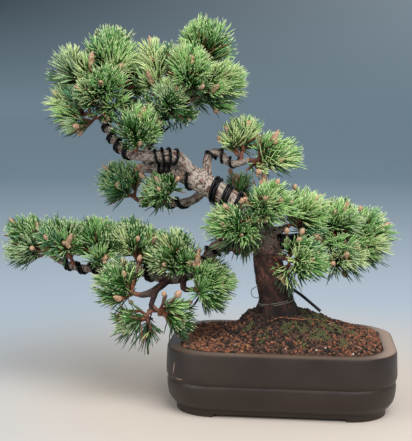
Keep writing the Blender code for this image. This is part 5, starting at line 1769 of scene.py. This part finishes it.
class BONSAI_OT_stage(bpy.types.Operator):
    """Sets a plain pale floor, soft light and the camera"""

    bl_idname = "bonsai.stage"
    bl_label = "Stage"

    def execute(self, context):
        settings = context.scene.bonsai.stage
        scene = context.scene
        around = np.arange(FLOOR_SIDES)
        angle = 2 * np.pi * around / FLOOR_SIDES
        rim = np.column_stack([np.cos(angle), np.sin(angle), np.zeros(FLOOR_SIDES)])
        floor = build_mesh("floor", rim * FLOOR_RADIUS, [(around[None], 0)],
                           [self.floor_finish(settings)])
        scene.world = self.air(settings)
        soft_box("key_light", KEY_PLACE, KEY_SIZE, settings.key)
        soft_box("fill_light", FILL_PLACE, FILL_SIZE, settings.fill)
        scene.view_settings.view_transform = "Standard"
        self.set_camera(scene)
        return {"FINISHED"}

    def air(self, settings):
        """The light all round: blue-grey near the floor's edge and paler overhead."""
        world = bpy.data.worlds.new("studio_air")
        world.use_nodes = True
        tree = world.node_tree
        place = add_node(tree, "TexCoord").outputs["Generated"]
        aim = add_node(tree, "SeparateXYZ", {"Vector": place}).outputs
        rightness = add_node(tree, "MapRange", {
            "Value": aim["X"], "From Min": LEFT_EDGE, "From Max": RIGHT_EDGE})
        above = add_node(tree, "Mix", {
            FACTOR: rightness.outputs["Result"], COLOUR_A: (*settings.dusk, 1.0),
            COLOUR_B: (*settings.haze, 1.0)}, data_type="RGBA")
        low = add_node(tree, "MapRange", {"Value": aim["Z"], "From Max": DUSK_RISE})
        near = add_node(tree, "Mix", {
            FACTOR: low.outputs["Result"], COLOUR_A: (*settings.horizon, 1.0),
            COLOUR_B: above.outputs[MIXED]}, data_type="RGBA")
        high = add_node(tree, "MapRange", {
            "Value": aim["Z"], "From Min": DUSK_RISE, "From Max": AIR_RISE})
        tint = add_node(tree, "Mix", {
            FACTOR: high.outputs["Result"], COLOUR_A: near.outputs[MIXED],
            COLOUR_B: (*settings.air, 1.0)}, data_type="RGBA")
        feed(tree, tree.nodes["Background"], {"Color": tint.outputs[MIXED]})
        return world

    def floor_finish(self, settings):
        """Matte card, laid flat: pale near the pot, and cooler far away where it meets the air."""
        made, tree, shader = new_material("matte_card_sheet", 0.95)
        place = add_node(tree, "TexCoord").outputs["Object"]
        away = add_node(tree, "VectorMath", {0: place}, operation="LENGTH")
        share = add_node(tree, "MapRange", {
            "Value": away.outputs["Value"], "From Min": 0.0, "From Max": FLOOR_FADE})
        tint = add_node(tree, "ValToRGB", {"Fac": share.outputs["Result"]},
                        stops=((0.06, settings.floor), (1.0, settings.far_floor),
                               (0.17, settings.cool_floor)))
        feed(tree, shader, {"Base Color": tint.outputs["Color"], "Specular IOR Level": 0.2})
        return made

    def set_camera(self, scene):
        """Puts the camera at the viewing place, with its long side upright."""
        lens = bpy.data.cameras.new("camera")
        lens.sensor_fit, lens.sensor_height, lens.lens = "VERTICAL", CAMERA_SENSOR, CAMERA_LENS
        lens.clip_start, lens.clip_end = CAMERA_CLIP
        camera = bpy.data.objects.new("camera", lens)
        right, up = unit(CAMERA_RIGHT), np.array(CAMERA_UP)
        up = unit(up - right * np.dot(up, right))
        columns = (right, up, np.cross(right, up), np.array(CAMERA_PLACE) * MM)
        matrix = np.eye(4)
        matrix[:3, :] = np.column_stack(columns)
        camera.matrix_world = Matrix(matrix.tolist())
        scene.collection.objects.link(camera)
        scene.camera = camera


class BONSAI_PT_panel(bpy.types.Panel):
    """Lists the makers and their settings"""

    bl_idname = "BONSAI_PT_panel"
    bl_label = "Bonsai"
    bl_space_type = "VIEW_3D"
    bl_region_type = "UI"
    bl_category = "Bonsai"

    def draw(self, context):
        groups = {
            "pot": ("bonsai.pot",),
            "soil": ("bonsai.soil", "bonsai.granules", "bonsai.ground_cover"),
            "bark": ("bonsai.bark",),
            "wire": ("bonsai.wire",),
            "needles": ("bonsai.twigs", "bonsai.needles", "bonsai.buds"),
            "stage": ("bonsai.stage",),
        }
        for group, operators in groups.items():
            box = self.layout.box()
            settings = getattr(context.scene.bonsai, group)
            for key in settings.__annotations__:
                box.prop(settings, key)
            for operator in operators:
                box.operator(operator)


CLASSES = (
    PotSettings, SoilSettings, BarkSettings, WireSettings, NeedleSettings, StageSettings,
    BonsaiSettings, BONSAI_OT_pot, BONSAI_OT_soil, BONSAI_OT_granules, BONSAI_OT_ground_cover,
    BONSAI_OT_bark, BONSAI_OT_wire, BONSAI_OT_twigs, BONSAI_OT_needles, BONSAI_OT_buds,
    BONSAI_OT_stage, BONSAI_PT_panel,
)


def register():
    for made in CLASSES:
        bpy.utils.register_class(made)
    bpy.types.Scene.bonsai = bpy.props.PointerProperty(type=BonsaiSettings)


def unregister():
    del bpy.types.Scene.bonsai
    for made in reversed(CLASSES):
        bpy.utils.unregister_class(made)


def main():
    """Makes every piece and the stage."""
    register()
    bpy.ops.bonsai.pot()
    bpy.ops.bonsai.soil()
    bpy.ops.bonsai.granules()
    bpy.ops.bonsai.ground_cover()
    bpy.ops.bonsai.bark()
    bpy.ops.bonsai.wire()
    bpy.ops.bonsai.twigs()
    bpy.ops.bonsai.needles()
    bpy.ops.bonsai.buds()
    bpy.ops.bonsai.stage()


if __name__ == "__main__":
    main()
